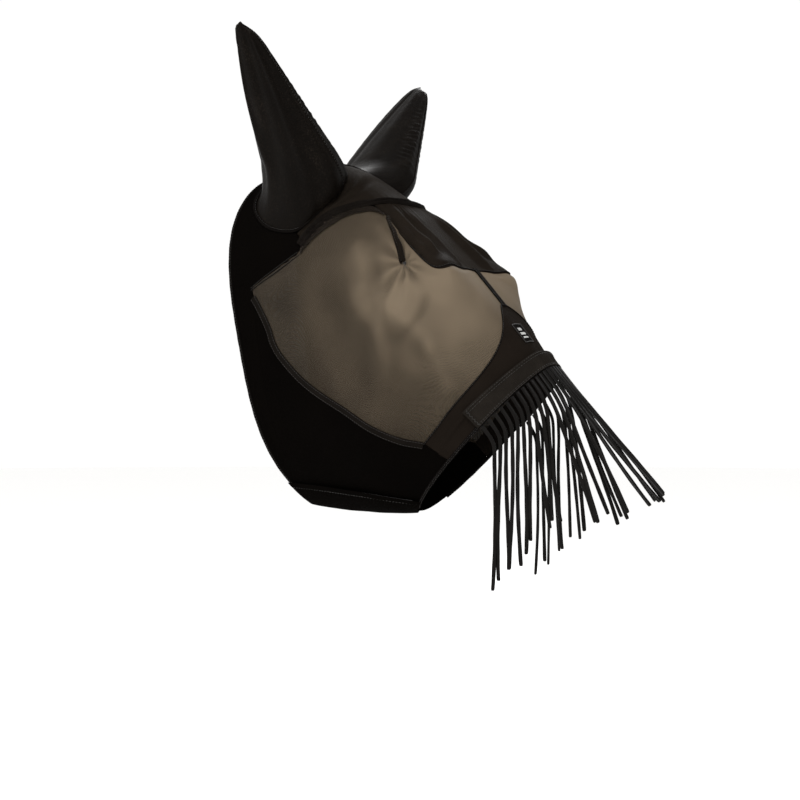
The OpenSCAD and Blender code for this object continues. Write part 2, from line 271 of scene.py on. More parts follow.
def skin(u, w):
    """The point of the head surface at u, neck to nose, and w, top centre line to jaw, in metres."""
    u, w = np.broadcast_arrays(np.asarray(u, float), np.asarray(w, float))
    w = np.where(w > 1, w - 2, np.where(w < -1, w + 2, w))
    s = along(SECTIONS, np.clip(u, 0, 1))
    turn = np.abs(w) * math.pi
    square = np.where(turn < math.pi / 2, s[..., 5], s[..., 6])
    drop = (1 - power(np.cos(turn), square)) / 2
    taper = 1 - s[..., 7] * (np.maximum(0, drop - TAPER_FROM) / (1 - TAPER_FROM)) ** 1.3
    half = s[..., 4] * power(np.abs(np.sin(turn)), square) * taper
    bow = s[..., 8] * (1 - (2 * drop - 1) ** 4)
    far = np.hypot((u - TENT_AT[0]) / TENT_REACH[0], (np.abs(w) - TENT_AT[1]) / TENT_REACH[1])
    rise = np.exp(-(far**TENT_SHARPNESS))
    x = mix(s[..., 0], s[..., 2], drop) + bow + TENT_RISE[0] * rise
    y = np.where(w < 0, -1, 1) * (half + TENT_RISE[1] * rise)
    z = mix(s[..., 1], s[..., 3], drop) + TENT_RISE[2] * rise
    return np.stack([x, y, z], -1) * MM


def normal(u, w):
    d = 0.006
    u = np.asarray(u, float)
    along_u = skin(np.minimum(1, u + d), w) - skin(np.maximum(0, u - d), w)
    return unit(np.cross(along_u, skin(u, w + d) - skin(u, w - d)))


def skin_at(u, w, high):
    """A point high metres above the head surface."""
    return skin(u, w) + normal(u, w) * np.asarray(high)[..., None]


def forward(u, w):
    """The unit direction along the cloth towards the nose."""
    ahead = np.minimum(1, np.asarray(u, float) + 0.01)
    return unit(skin(ahead, w) - skin(ahead - 0.02, w))

# ---------------------------------------------------------------- lines of the cloth, as in the CAD, each (u, |w|)

EYE_TOP = [
    [0.082, 0.448], [0.155, 0.418], [0.226, 0.381], [0.285, 0.304], [0.340, 0.236], [0.396, 0.186],
    [0.440, 0.180], [0.498, 0.211], [0.540, 0.236], [0.620, 0.250], [0.664, 0.170], [0.698, 0.096],
    [0.712, 0.003], [0.766, 0.003], [0.820, 0.003],
]
EYE_LOW = [
    [0.086, 0.456], [0.150, 0.512], [0.260, 0.552], [0.430, 0.576], [0.620, 0.590], [0.780, 0.585], [0.870, 0.566],
]
EYE_BOW = 0.052
# The cloth lies over the eyes here, with long soft folds below and behind: height in mm, start, end and width in metres
EYE_SPOT = (0.61, 0.365)
EYE_FOLDS = (
    (3.4, (0.525, 0.392), (0.760, 0.402), 0.008), (3.0, (0.740, 0.400), (0.885, 0.435), 0.007),
    (-2.6, (0.600, 0.405), (0.860, 0.420), 0.008), (2.6, (0.420, 0.410), (0.640, 0.480), 0.011),
    (-2.4, (0.330, 0.440), (0.600, 0.520), 0.012), (2.6, (0.240, 0.450), (0.430, 0.545), 0.012),
    (2.2, (0.400, 0.300), (0.470, 0.400), 0.010), (-2.0, (0.455, 0.300), (0.520, 0.380), 0.008),
)
# A fold this high in metres is painted palest and one this deep darkest: painted highlight on ridges, painted shade in
# hollows
FOLD_FULL = 0.005
# Metres of cloth for a whole u and a whole w over the eye
CLOTH_U = 0.42
CLOTH_W = 0.34
CROWN_FRONT = [
    [0.156, 0], [0.106, 0.036], [0.063, 0.108], [0.054, 0.190], [0.073, 0.270], [0.129, 0.328],
    [0.200, 0.335], [0.220, 0.376], [0.150, 0.413], [0.082, 0.444],
]
POLL_REAR = [
    [0.161, 0], [0.214, 0.038], [0.281, 0.119], [0.294, 0.200], [0.266, 0.273], [0.212, 0.336],
]
BROW_LINE = [[0.440, 0], [0.432, 0.070], [0.396, 0.152], [0.345, 0.222], [0.285, 0.285], [0.226, 0.362]]
FOREHEAD_REAR = [[0.458, 0], [0.450, 0.070], [0.426, 0.132], [0.418, 0.158]]
# Drag lines of the forehead cloth
FOREHEAD_FOLDS = (
    (3.2, (0.450, 0.120), (0.600, 0.160), 0.007), (-2.8, (0.470, 0.090), (0.620, 0.130), 0.007),
    (3.0, (0.490, 0.060), (0.680, 0.080), 0.006), (-2.2, (0.520, 0.030), (0.690, 0.040), 0.007),
    (2.4, (0.500, 0.170), (0.590, 0.215), 0.006),
)
FOREHEAD_LOW = [[0.702, 0], [0.688, 0.090], [0.652, 0.162], [0.612, 0.234], [0.536, 0.220]]
EAR_LOOP = [
    [0.160, 0.020], [0.212, 0.044], [0.278, 0.122], [0.290, 0.200], [0.262, 0.272], [0.206, 0.330],
    [0.130, 0.325], [0.075, 0.268], [0.056, 0.190], [0.064, 0.110], [0.104, 0.044],
]
DART_LINE = [[0.452, 0.176], [0.500, 0.226], [0.552, 0.282]]
EAR_FOOT = np.array([13, 8.5, -8]) * MM
CHEEK_END = 0.880
FLAP_SEAM = 0.790
FLAP_START = 0.800
FLAP_TIP = 1.205
LIFT_FROM = 1.03
LIFT_OVER = 0.065
BAND_END = 0.455
BAND_SCALE = (510, 346)
BAND_W = 27
BINDING_U = 5 / 400
SEAM_W = 0.003
TAPE_H = 2.5 * MM
HOOK_H = 3.8 * MM
COVER_H = 5.1 * MM
BAND_T = 2.4 * MM

EAR_LEN = 246 * MM
EAR_LEAN = math.radians(40)
EAR_SWAY = math.radians(2)
EAR_TAPER = (0.86, 0.76)
EAR_PITCH = math.radians(3)
EAR_HALF_W = 66 * MM
EAR_HALF_D = 36 * MM
EAR_TIP_W = 9 * MM
EAR_TIP_D = 3.6 * MM

# Share of the band, length in mm, sideways drift in mm and slope in degrees below level, as in the CAD
STRANDS = [
    [-0.97, 198, -2, 90], [-0.91, 194, -2, 90], [-0.85, 188, -2, 90], [-0.79, 194, -1, 90],
    [-0.73, 196, -1, 89], [-0.67, 188, -1, 89], [-0.61, 178, 0, 88], [-0.55, 170, 0, 84],
    [-0.49, 166, 0, 83], [-0.43, 172, 0, 82], [-0.37, 186, 0, 71], [-0.31, 190, 0, 70],
    [-0.25, 186, 0, 68], [-0.19, 196, 0, 60], [-0.13, 204, 0, 51], [-0.07, 206, 0, 50],
    [-0.01, 204, 0, 48], [0.05, 200, 0, 48], [0.11, 206, 0, 49], [0.17, 198, 0, 51],
    [0.24, 196, 0, 66], [0.31, 188, 0, 69], [0.38, 192, 0, 71], [0.45, 186, 0, 83],
    [0.52, 190, 0, 84], [0.59, 182, 0, 85], [0.66, 190, 1, 88], [0.73, 186, 1, 89],
    [0.80, 196, 1, 90], [0.87, 184, 2, 90], [0.94, 192, 2, 90],
]
STRAND_RINGS = 9
STRAND_W = 4.75 * MM
STRAND_T = 1.5 * MM
# Most that a strand drifts off its CAD line each way, in mm
STRAND_SWAY = 3.5
STRAND_POINTS = 33
STRAND_FINE_POINTS = 97
# The section of a strand, in half widths and half thicknesses
STRAND_SHAPE = (
    (-1, -0.35), (-0.8, -1), (0, -0.85), (0.8, -1), (1, -0.35), (1, 0.35), (0.8, 1), (0, 0.8), (-0.8, 1), (-1, 0.35),
)
NOSE_SLOPE = 47
BEND_OVER = (110, 45)

SIDES = ((-1, "right"), (1, "left"))

# ---------------------------------------------------------------- materials


class Nodes:
    """A material's node tree, with short calls to add and join nodes."""

    def __init__(self, name, colour, rough, **settings):
        self.material = bpy.data.materials.new(name)
        self.material.use_nodes = True
        self.tree = self.material.node_tree
        self.shader = self.tree.nodes["Principled BSDF"]
        self.shader.inputs["Base Color"].default_value = (*colour, 1)
        self.shader.inputs["Roughness"].default_value = rough
        for key, value in settings.items():
            self.shader.inputs[key.replace("_", " ")].default_value = value
        self.bumps = None

    def add(self, kind, **settings):
        node = self.tree.nodes.new(kind)
        for key, value in settings.items():
            if hasattr(node, key):
                setattr(node, key, value)
            else:
                node.inputs[key.replace("_", " ")].default_value = value
        return node

    def join(self, out, into):
        self.tree.links.new(out, into)
        return into.node

    def place(self, stretch=(1, 1, 1), turn=0.0, cloth=True):
        """Cloth coordinates in metres, or the row frame's own."""
        if cloth:
            source = self.add("ShaderNodeUVMap", uv_map="cloth").outputs["UV"]
        else:
            source = self.add("ShaderNodeTexCoord").outputs["Object"]
        mapping = self.add("ShaderNodeMapping")
        mapping.inputs["Scale"].default_value = stretch
        mapping.inputs["Rotation"].default_value = (0, 0, turn)
        self.join(source, mapping.inputs["Vector"])
        return mapping.outputs["Vector"]

    def wave(self, size, turn=0.0, wobble=0.0, cloth=True):
        """Stripes size metres apart, 0 to 1."""
        node = self.add("ShaderNodeTexWave", Scale=math.tau / 20 / size, Distortion=wobble, Detail=1.0)
        self.join(self.place(turn=turn, cloth=cloth), node.inputs["Vector"])
        return node.outputs["Fac"]

    def noise(self, size, detail=3.0, stretch=(1, 1, 1), turn=0.0, cloth=False):
        node = self.add("ShaderNodeTexNoise", Scale=1 / size, Detail=detail)
        self.join(self.place(stretch, turn, cloth), node.inputs["Vector"])
        return node.outputs["Fac"]

    def folds(self):
        """1 on the highest folds of the cloth and 0 in the deepest."""
        parts = self.add("ShaderNodeSeparateXYZ")
        self.join(self.add("ShaderNodeUVMap", uv_map="folds").outputs["UV"], parts.inputs[0])
        return parts.outputs["X"]

    def near(self, place, reach):
        """1 at a place in the row frame, fading to 0 at reach from it, the same on both sides of the head."""
        mapping = self.add("ShaderNodeMapping")
        mapping.inputs["Scale"].default_value = (1 / reach, 0, 1 / reach)
        mapping.inputs["Location"].default_value = (-place[0] / reach, 0, -place[1] / reach)
        self.join(self.add("ShaderNodeTexCoord").outputs["Object"], mapping.inputs["Vector"])
        ball = self.add("ShaderNodeTexGradient", gradient_type="SPHERICAL")
        self.join(mapping.outputs["Vector"], ball.inputs["Vector"])
        return ball.outputs["Fac"]

    def maths(self, kind, a, b):
        node = self.add("ShaderNodeMath", operation=kind)
        for value, socket in zip((a, b), node.inputs):
            if isinstance(value, (int, float)):
                socket.default_value = value
            else:
                self.join(value, socket)
        return node.outputs[0]

    def shares(self, *parts):
        """The sum of values, each times its share."""
        total = None
        for value, share in parts:
            part = self.maths("MULTIPLY", value, share)
            total = part if total is None else self.maths("ADD", total, part)
        return total

    def ramp(self, value, stops):
        node = self.add("ShaderNodeValToRGB")
        ramp = node.color_ramp
        while len(ramp.elements) < len(stops):
            ramp.elements.new(0.5)
        for element, (at, colour) in zip(ramp.elements, stops):
            element.position = at
            element.color = (*colour, 1) if hasattr(colour, "__len__") else (colour, colour, colour, 1)
        self.join(value, node.inputs["Fac"])
        return node.outputs["Color"]

    def bump(self, height, deep, strength=1.0):
        node = self.add("ShaderNodeBump", Strength=strength, Distance=deep)
        self.join(height, node.inputs["Height"])
        if self.bumps is not None:
            self.join(self.bumps, node.inputs["Normal"])
        self.bumps = node.outputs["Normal"]
        self.join(self.bumps, self.shader.inputs["Normal"])

    def colour(self, out):
        self.join(out, self.shader.inputs["Base Color"])

    def tones(self, value, colour, *stops):
        """Colours the cloth by a value: each stop is a place on it and a share of the colour."""
        self.colour(self.ramp(value, [(at, tone(colour, share)) for at, share in stops]))

    def rough(self, value, low, high):
        self.join(self.ramp(value, [(0.3, low), (0.7, high)]), self.shader.inputs["Roughness"])

    def alpha(self, out):
        self.join(out, self.shader.inputs["Alpha"])


def tone(colour, share):
    return tuple(min(1, c * share) for c in colour)


def plain(name, colour, rough):
    nodes = Nodes(name, colour, rough)
    nodes.tones(nodes.noise(0.02), colour, (0.3, 0.985), (0.7, 1))
    return nodes.material


def knit(name, colour, pitch, deep, rough, spread, mottle_size, sheen, gloss, tint=(0.6, 0.6, 0.62)):
    """Knitted cloth: rows of stitches pitch metres apart, mottled, with a soft sheen."""
    sheens = {"Sheen_Weight": sheen, "Sheen_Roughness": 0.3, "Sheen_Tint": (*tint, 1)}
    nodes = Nodes(name, colour, rough, Specular_IOR_Level=gloss, **sheens)
    rows, columns = nodes.wave(pitch, 0, 1.2), nodes.wave(pitch * 0.8, math.pi / 2, 1.2)
    stitch = nodes.maths("MULTIPLY", rows, columns)
    mottle = nodes.noise(mottle_size, 6)
    nodes.tones(nodes.shares((stitch, 0.45), (mottle, 0.55)), colour, (0.2, 1 - spread), (0.7, 1 + spread))
    nodes.rough(mottle, rough - 0.08, min(1, rough + 0.1))
    nodes.bump(stitch, deep)
    nodes.bump(nodes.noise(0.004, 4), deep * 0.6, 0.6)
    return nodes.material


def netting(name, colour, pitch, solid, painted_highlight=None):
    """A see-through knitted net of threads that cross in two slanting sets. solid is the share that is thread.

    Round the place given it is painted paler, a painted highlight fading to painted shade further off; its fold ridges
    get a painted highlight and its hollows painted shade."""
    nodes = Nodes(name, colour, 0.6, Sheen_Weight=0.004, Sheen_Roughness=0.4, Specular_IOR_Level=0.02)
    first, second = nodes.wave(pitch, math.radians(38), 2.2), nodes.wave(pitch, math.radians(-38), 2.2)
    threads = nodes.maths("MAXIMUM", first, second)
    mottle = nodes.noise(0.09, 2)
    if painted_highlight:
        # Painted light: paler round the given spot and on fold ridges, darker further off and in fold hollows, with
        # random mottle
        shade = nodes.shares((nodes.near(*painted_highlight), 0.5), (mottle, 0.3), (nodes.folds(), 0.3))
        nodes.tones(shade, colour, (0.24, 0.22), (0.52, 0.62), (0.76, 1.75))
    else:
        nodes.tones(mottle, colour, (0.3, 0.7), (0.7, 1.3))
    uneven = nodes.maths("MULTIPLY", nodes.noise(0.03, 3), 0.2)
    cover = nodes.maths("ADD", threads, nodes.maths("SUBTRACT", uneven, 0.1))
    nodes.alpha(nodes.ramp(cover, [(0.25, solid - 0.06), (0.9, min(1, solid + 0.05))]))
    nodes.bump(threads, 0.00003)
    return nodes.material


def satin(name, colour, painted_sheen_colour):
    """Smooth glossy cloth with a fine grain of pale specks and soft lengthwise streaks painted into its colour: painted
    glints and painted sheen.
    """
    sheens = {"Sheen_Weight": 0.002, "Sheen_Roughness": 0.3, "Sheen_Tint": (0.75, 0.64, 0.52, 1)}
    nodes = Nodes(name, colour, 0.42, Specular_IOR_Level=0.022, **sheens)
    speck = nodes.noise(0.0016, 2)
    painted_sheen_streak = nodes.noise(0.02, 3, (1, 0.22, 1), cloth=True)
    shade = nodes.shares((speck, 0.6), (painted_sheen_streak, 0.4))
    # Painted sheen: pale specks and lengthwise streaks lift the colour towards the sheen colour
    nodes.colour(nodes.ramp(shade, [(0.36, tone(colour, 0.6)), (0.54, colour), (0.70, painted_sheen_colour)]))
    nodes.rough(speck, 0.34, 0.6)
    nodes.bump(speck, 0.00025, 0.7)
    nodes.bump(nodes.noise(0.012, 3, (1, 0.3, 1), cloth=True), 0.0012, 0.5)
    return nodes.material


def webbing(name, colour, pitch, deep, fleck=1.5):
    """Woven tape with clear cross ribs and dusty high threads."""
    sheens = {"Sheen_Weight": 0.003, "Sheen_Roughness": 0.45, "Sheen_Tint": (0.8, 0.7, 0.6, 1)}
    nodes = Nodes(name, colour, 0.8, Specular_IOR_Level=0.01, **sheens)
    ribs, warp = nodes.wave(pitch, 0, 0.6), nodes.wave(pitch * 0.55, math.pi / 2, 0.6)
    weave = nodes.maths("MULTIPLY", ribs, warp)
    wear = nodes.noise(0.018, 6)
    nodes.tones(nodes.shares((weave, 0.5), (wear, 0.5)), colour, (0.25, 0.6), (0.5, 1), (0.75, fleck))
    nodes.bump(weave, deep)
    nodes.bump(nodes.noise(0.0022, 4), deep, 0.5)
    return nodes.material


def pile(name, colour, grain):
    """Rough hook or loop tape."""
    nodes = Nodes(name, colour, 0.9, Sheen_Weight=0.05, Sheen_Roughness=0.5, Specular_IOR_Level=0.1)
    tuft = nodes.noise(grain, 5)
    nodes.tones(tuft, colour, (0.35, 0.4), (0.65, 1.7))
    nodes.bump(tuft, 0.0009)
    return nodes.material


def leather(name, colour):
    nodes = Nodes(name, colour, 0.38, Specular_IOR_Level=0.055)
    grain, scuff = nodes.noise(0.0014, 4), nodes.noise(0.03, 5)
    nodes.tones(scuff, colour, (0.3, 0.7), (0.62, 1), (0.8, 1.8))
    nodes.rough(scuff, 0.28, 0.52)
    nodes.bump(grain, 0.0003, 0.6)
    nodes.bump(nodes.noise(0.009, 3), 0.0008, 0.4)
    return nodes.material


def thread(name, colour):
    nodes = Nodes(name, colour, 0.6, Sheen_Weight=0.05, Specular_IOR_Level=0.15)
    twist = nodes.noise(0.0008, 3)
    nodes.tones(twist, colour, (0.3, 0.6), (0.7, 1.5))
    nodes.bump(twist, 0.0003)
    return nodes.material


def label_thread(name):
    """Pale embroidery thread, a little grimy, with the run of the stitches in it."""
    pale = (0.34, 0.34, 0.33)
    nodes = Nodes(name, pale, 0.55, Sheen_Weight=0.1, Specular_IOR_Level=0.25)
    rows, grime = nodes.noise(0.0007, 2), nodes.noise(0.006, 4)
    nodes.tones(nodes.shares((rows, 0.5), (grime, 0.5)), pale, (0.3, 0.45), (0.5, 0.85), (0.7, 1.2))
    nodes.bump(rows, 0.0003)
    return nodes.material


def make_materials():
    return {
        "lycra": knit("lycra", (0.0014, 0.0011, 0.0009), 0.0011, 0.00018, 0.72, 0.35, 0.06, 0.0012, 0.003),
        "nose": knit(
            "nose_lycra", (0.0080, 0.0060, 0.0046), 0.0011, 0.0002, 0.72, 0.3, 0.05, 0.003, 0.004, (0.6, 0.53, 0.46)
        ),
        # The eye mesh gets a painted highlight round a spot over each eye, fading to painted shade
        "eye_mesh": netting("eye_mesh", (0.058, 0.045, 0.031), 0.0018, 0.92, painted_highlight=((0.183, -0.158), 0.22)),
        # A dark net used only for the painted shadow under the brow band
        "shadow_net": netting("shadow_net", (0.0085, 0.0065, 0.0049), 0.0018, 0.74),
        "dark_mesh": knit(
            "dark_mesh", (0.0088, 0.0067, 0.0050), 0.0016, 0.0003, 0.66, 0.4, 0.05, 0.0025, 0.006, (0.7, 0.6, 0.48)
        ),
        "satin": satin("ear_satin", (0.0026, 0.0019, 0.0014), (0.0088, 0.0068, 0.0052)),
        "elastic": webbing("elastic", (0.0050, 0.0040, 0.0033), 0.0016, 0.0003),
        "binding": webbing("binding", (0.0036, 0.0029, 0.0025), 0.0014, 0.0003),
        "tape": webbing("tape", (0.0052, 0.0042, 0.0034), 0.0014, 0.00025),
        "hook": pile("hook_tape", (0.010, 0.0095, 0.009), 0.0013),
        "loop": pile("loop_tape", (0.014, 0.0135, 0.013), 0.0022),
        "fringe": webbing("fringe_cloth", (0.0118, 0.0098, 0.0080), 0.0016, 0.0004, 1.8),
        "strip": leather("strip", (0.0030, 0.0025, 0.0021)),
        "thread": thread("thread", (0.020, 0.0185, 0.017)),
        "label": label_thread("label_thread"),
    }

# ---------------------------------------------------------------- cloth patches


def lengths(points, axis):
    """Distances along a grid of points, summed from its first row or column."""
    step = np.linalg.norm(np.diff(points, axis=axis), axis=-1)
    first = np.zeros_like(np.take(step, [0], axis=axis))
    return np.concatenate([first, np.cumsum(step, axis=axis)], axis=axis)


def cloth_map(points):
    """Cloth coordinates in metres for a grid of points."""
    across, down = lengths(points, 0), lengths(points, 1)
    return np.stack([across - across.mean(0, keepdims=True), down], -1)


def area_of(grid):
    a = grid[1:, :-1] - grid[:-1, :-1]
    b = grid[:-1, 1:] - grid[:-1, :-1]
    return float(np.linalg.norm(np.cross(a, b), axis=-1).sum())


def declare(grid):
    """Works out how large a flat piece of cloth the grid was cut from, and keeps none of it."""
    width = round(float(lengths(grid, 0)[-1].max()) + 0.004, 3)
    length = round(float(lengths(grid, 1)[:, -1].max()) + 0.004, 3)
    area = round(min(area_of(grid), width * length), 5)
    if area < 0.3 * width * length:
        length = round(area / 0.35 / width, 3)


def patch(name, spots, m, n, low, thick, material, relief=None, edge=0.0):
    """A sheet of cloth on the head: spots(a, b) gives its u and w, and relief(a, b, u, w) its folds.

    It thins over edge at its sides."""
    a, b = np.meshgrid(np.linspace(0, 1, m + 1), np.linspace(0, 1, n + 1), indexing="ij")
    u, w = spots(a, b)
    fold = np.zeros_like(a) if relief is None else relief(a, b, u, w)
    base, out = skin(u, w), normal(u, w)
    inner = base + out * (low + fold)[..., None]
    rim = np.minimum.reduce([a, 1 - a, b, 1 - b])
    round_off = 1 if not edge else 0.45 + 0.55 * smooth(rim / edge)
    outer = base + out * (low + fold + thick * round_off)[..., None]
    obj = slab(name, outer, inner, cloth_map(outer), material)
    # Each point's fold height, kept in the folds layer for the painted highlight on ridges and painted shade in hollows
    fold_shading = np.stack([np.clip(0.5 + fold / FOLD_FULL / 2, 0, 1), b], -1).reshape(-1, 2)
    add_uv(obj.data, "folds", np.concatenate([fold_shading, fold_shading]))
    return obj, (inner + outer) / 2


def line_on_head(spots, t, high):
    """Points of a line on the head, with the cloth's normal and the direction across the line."""
    u, w = spots(t)
    points, up = skin_at(u, w, high), normal(u, w)
    go = unit(np.gradient(points, axis=0))
    return points, up, unit(np.cross(up, go)), go


def tape(name, spots, m, width, low, thick, material, columns=6, crown=0.0, wave=None):
    """A flat tape whose middle line is spots(t), domed by crown."""
    t = np.linspace(0, 1, m + 1)
    points, up, across, _ = line_on_head(spots, t, np.zeros(m + 1))
    b = np.linspace(-0.5, 0.5, columns + 1)
    width = np.broadcast_to(np.asarray(width, float), m + 1)[:, None, None]
    swell = crown * (1 - (2 * b) ** 2)[None, :, None] + (0 if wave is None else wave(t, b)[..., None])
    inner = points[:, None] + across[:, None] * b[None, :, None] * width + up[:, None] * low
    outer = inner + up[:, None] * (thick + swell)
    inner = inner + up[:, None] * np.minimum(0, swell)
    obj = slab(name, outer, inner, cloth_map(outer), material)
    return obj, (inner + outer) / 2


def stitches(
    mat, name, line, up, body, pitch=0.0036, share=0.6, radius=0.00024, zigzag=0.0, across=None, blend=None
):
    """Sewn stitches along a line of points: short bowed bits of thread, pitch apart and a share of the pitch long."""
    run = lengths(line[None], 1)[0]
    count = max(2, int(run[-1] / pitch))
    parts = []
    for k in range(count):
        ends = (k + 0.5 + np.array([-share / 2, -share / 4, 0, share / 4, share / 2])) / count * run[-1]
        at = np.stack([np.interp(ends, run, line[:, i]) for i in range(3)], -1)
        lift = np.stack([np.interp(ends, run, up[:, i]) for i in range(3)], -1)
        at = at + lift * radius * np.array([-1.2, 0.5, 0.9, 0.5, -1.2])[:, None]
        if zigzag:
            side = np.stack([np.interp(ends, run, across[:, i]) for i in range(3)], -1)
            at = at + side * zigzag * np.linspace(-1, 1, 5)[:, None] * (1 if k % 2 else -1)
        parts.append(sweep(at, radius, 5))
    shaped(name, joined(parts), mat["thread"], body, (), blend)


def seam_line(mat, name, spots, m, high, radius):
    """A thin lumpy seam ridge along a line on the head, with its row of stitches."""
    t = np.linspace(0, 1, m + 1)
    points, up, across, _ = line_on_head(spots, t, np.full(m + 1, high))
    run = lengths(points[None], 1)[0]
    bulge = radius * (1 + 0.12 * np.sin(run / 0.006 * math.tau))
    shaped(name, sweep(points, bulge, 8, across, 0.75), mat["binding"], "head_shell")
    row = points + up * 0.72 * radius + across * 0.2 * radius
    stitches(mat, name + "_thread", row, up, "head_shell", 0.0034, 0.62, 0.00022)


def ridge(x, at, wide):
    return np.exp(-(((x - at) / wide) ** 2))


# ---------------------------------------------------------------- the head shell


def eye_front(b):
    spot = mix(np.array(EYE_TOP[-1]), np.array(EYE_LOW[-1]), b[..., None])
    return spot[..., 0] + EYE_BOW * 4 * b * (1 - b), spot[..., 1]


def cheek_top(u):
    """The |w| of the cheek's top edge at u, under the seam tape of the eye mesh."""
    low = along(EYE_LOW, np.linspace(0, 1, 200))
    inside = np.interp(u, low[:, 0], low[:, 1])
    rear = mix(0.444, 0.450, u / EYE_LOW[0][0])
    front = mix(EYE_LOW[-1][1], 0.575, (u - 0.87) / 0.13)
    return np.where(u < EYE_LOW[0][0], rear - 0.006, np.where(u > EYE_LOW[-1][0], front, inside))


def crown_spots(a, b):
    front = both_sides(CROWN_FRONT, a)
    return mix(BINDING_U * 0.4, front[..., 0] + 0.004 * np.sign(b), b), front[..., 1]


def poll_spots(a, b):
    rear, front = both_sides(POLL_REAR, a), both_sides(BROW_LINE, a)
    p = mix(rear - 0.004 * np.array([1, 0]), front + 0.006 * np.array([1, 0]), b[..., None])
    return p[..., 0], p[..., 1]


def forehead_spots(a, b):
    rear = both_sides(FOREHEAD_REAR, a) - 0.016 * np.array([1, 0])
    low = both_sides(FOREHEAD_LOW, a) * np.array([1, 1.03]) + 0.006 * np.array([1, 0])
    p = mix(rear, low, b[..., None])
    return p[..., 0], p[..., 1]


def nose_spots(a, b):
    side = np.abs(2 * a - 1)
    rear, _ = eye_front(side)
    w = side * (EYE_LOW[-1][1] + SEAM_W) * np.where(a < 0.5, -1, 1)
    return mix(rear - 0.002, 1 - BINDING_U * 0.4, b), w


def cheek_spots(side, low_edge):
    def spots(a, b):
        u = mix(BINDING_U * 0.4, 1 - BINDING_U * 0.4, a)
        return u, side * mix(cheek_top(u) - 0.004, low_edge, b)

    return spots


def eye_spots(side):
    def spots(a, b):
        under = np.array([0, 0.010])
        p = mix(along(EYE_TOP, a) - under, along(EYE_LOW, a) + SEAM_W * np.array([0, 1]), b[..., None])
        return p[..., 0] + EYE_BOW * 4 * b * (1 - b) * a**6, side * np.maximum(0.0008, p[..., 1])

    return spots


def dart_fan(u, w, side):
    """Folds that run out from the end of the dart, dying away with distance."""
    tip_u, tip_w = DART_LINE[-1]
    x, y = (u - tip_u) * CLOTH_U, (side * w - tip_w) * CLOTH_W
    far = np.hypot(x, y)
    angle = np.arctan2(y, x)
    return np.sin(angle * 9 + 1.3) * np.exp(-far / 0.045) * smooth(far / 0.012)


def crease(u, w, start, end, wide):
    """1 along a straight line over the cloth from start to end, each (u, |w|), fading at its sides and ends."""
    go = np.array([(end[0] - start[0]) * CLOTH_U, (end[1] - start[1]) * CLOTH_W])
    x, y = (u - start[0]) * CLOTH_U, (np.abs(w) - start[1]) * CLOTH_W
    t = (x * go[0] + y * go[1]) / (go @ go)
    off = (x * go[1] - y * go[0]) / math.hypot(*go)
    return np.exp(-((off / wide) ** 2)) * smooth((t + 0.15) / 0.3) * smooth((1.15 - t) / 0.3)


def cheek_relief(side):
    def relief(a, b, u, w):
        low = 0.9 * ridge(b, 0.86 + 0.05 * np.sin(7 * a + 1), 0.05) - 0.7 * ridge(b, 0.72 + 0.06 * np.sin(5 * a), 0.06)
        pucker = 0.22 * np.sin(a * 240 + 2 * np.sin(a * 31)) * ridge(b, 0, 0.05)
        slack = 0.8 * ripple(a * 0.42, b * 0.2, 0.16, 2 + side)
        return MM * (low * smooth(a * 3) * smooth((1 - a) * 3) + pucker + slack) * smooth(np.minimum(a, 1 - a) * 14)

    return relief


def eye_relief(side):
    def relief(a, b, u, w):
        hem = smooth(np.minimum.reduce([a * 12, (1 - a) * 12, b * 10, (1 - b) * 10]))
        drape = 1.3 * ripple(a * 0.4, b * 0.28, 0.13, 4 + side) + 0.5 * ripple(a * 0.4, b * 0.28, 0.05, 9 + side)
        fan = 2.4 * dart_fan(u, w, side)
        gather = 0.8 * np.sin(a * 170 + 3 * b) * np.exp(-b / 0.12) * ridge(a, 0.33, 0.13)
        ball = np.hypot((u - EYE_SPOT[0]) * CLOTH_U, (np.abs(w) - EYE_SPOT[1]) * CLOTH_W)
        bulge = 5.0 * np.exp(-((ball / 0.016) ** 2)) - 1.8 * np.exp(-(((ball - 0.026) / 0.006) ** 2))
        long = sum(deep * crease(u, w, start, end, wide) for deep, start, end, wide in EYE_FOLDS)
        return MM * (drape + fan + gather + bulge + long) * hem

    return relief


def crown_relief(a, b, u, w):
    pucker = 0.35 * np.sin(a * 300 + 3 * np.sin(a * 20)) * np.exp(-(1 - b) / 0.18)
    slack = 0.9 * ripple(a * 0.36, b * 0.07, 0.08, 5)
    return MM * (pucker + slack) * smooth(b * 8)


def poll_relief(a, b, u, w):
    """A pinch runs across the poll from one ear seam, with soft drag lines from both."""
    pinch = 2.6 * ridge(b, 0.42 + 0.22 * (a - 0.35) * 2, 0.07) * ridge(a, 0.36, 0.13)
    crease = -1.4 * ridge(b, 0.54 + 0.4 * (a - 0.35), 0.05) * ridge(a, 0.37, 0.11)
    drag = 1.0 * np.sin(b * 22 + 5 * a) * (ridge(a, 0.08, 0.1) + ridge(a, 0.92, 0.1))
    gather = 0.7 * np.sin(a * 150 + 4 * np.sin(a * 13)) * np.exp(-(1 - b) / 0.1)
    return MM * (pinch + crease + drag + gather + 0.8 * ripple(a * 0.3, b * 0.1, 0.09, 3)) * smooth(b * 10)


def forehead_relief(a, b, u, w):
    gather = 1.1 * np.sin(a * 120 + 4 * np.sin(a * 17)) * np.exp(-b / 0.14)
    fold = 0
    for side in (-1, 1):
        fold = fold + 2.6 * dart_fan(u, w, side) * smooth((w * side + 0.02) / 0.06)
    drape = 1.5 * ripple(a * 0.2, b * 0.13, 0.06, 6)
    drag = sum(deep * crease(u, w, start, end, wide) for deep, start, end, wide in FOREHEAD_FOLDS)
    return MM * (gather + fold + drape + drag) * smooth(b * 10) * smooth((1 - b) * 14)


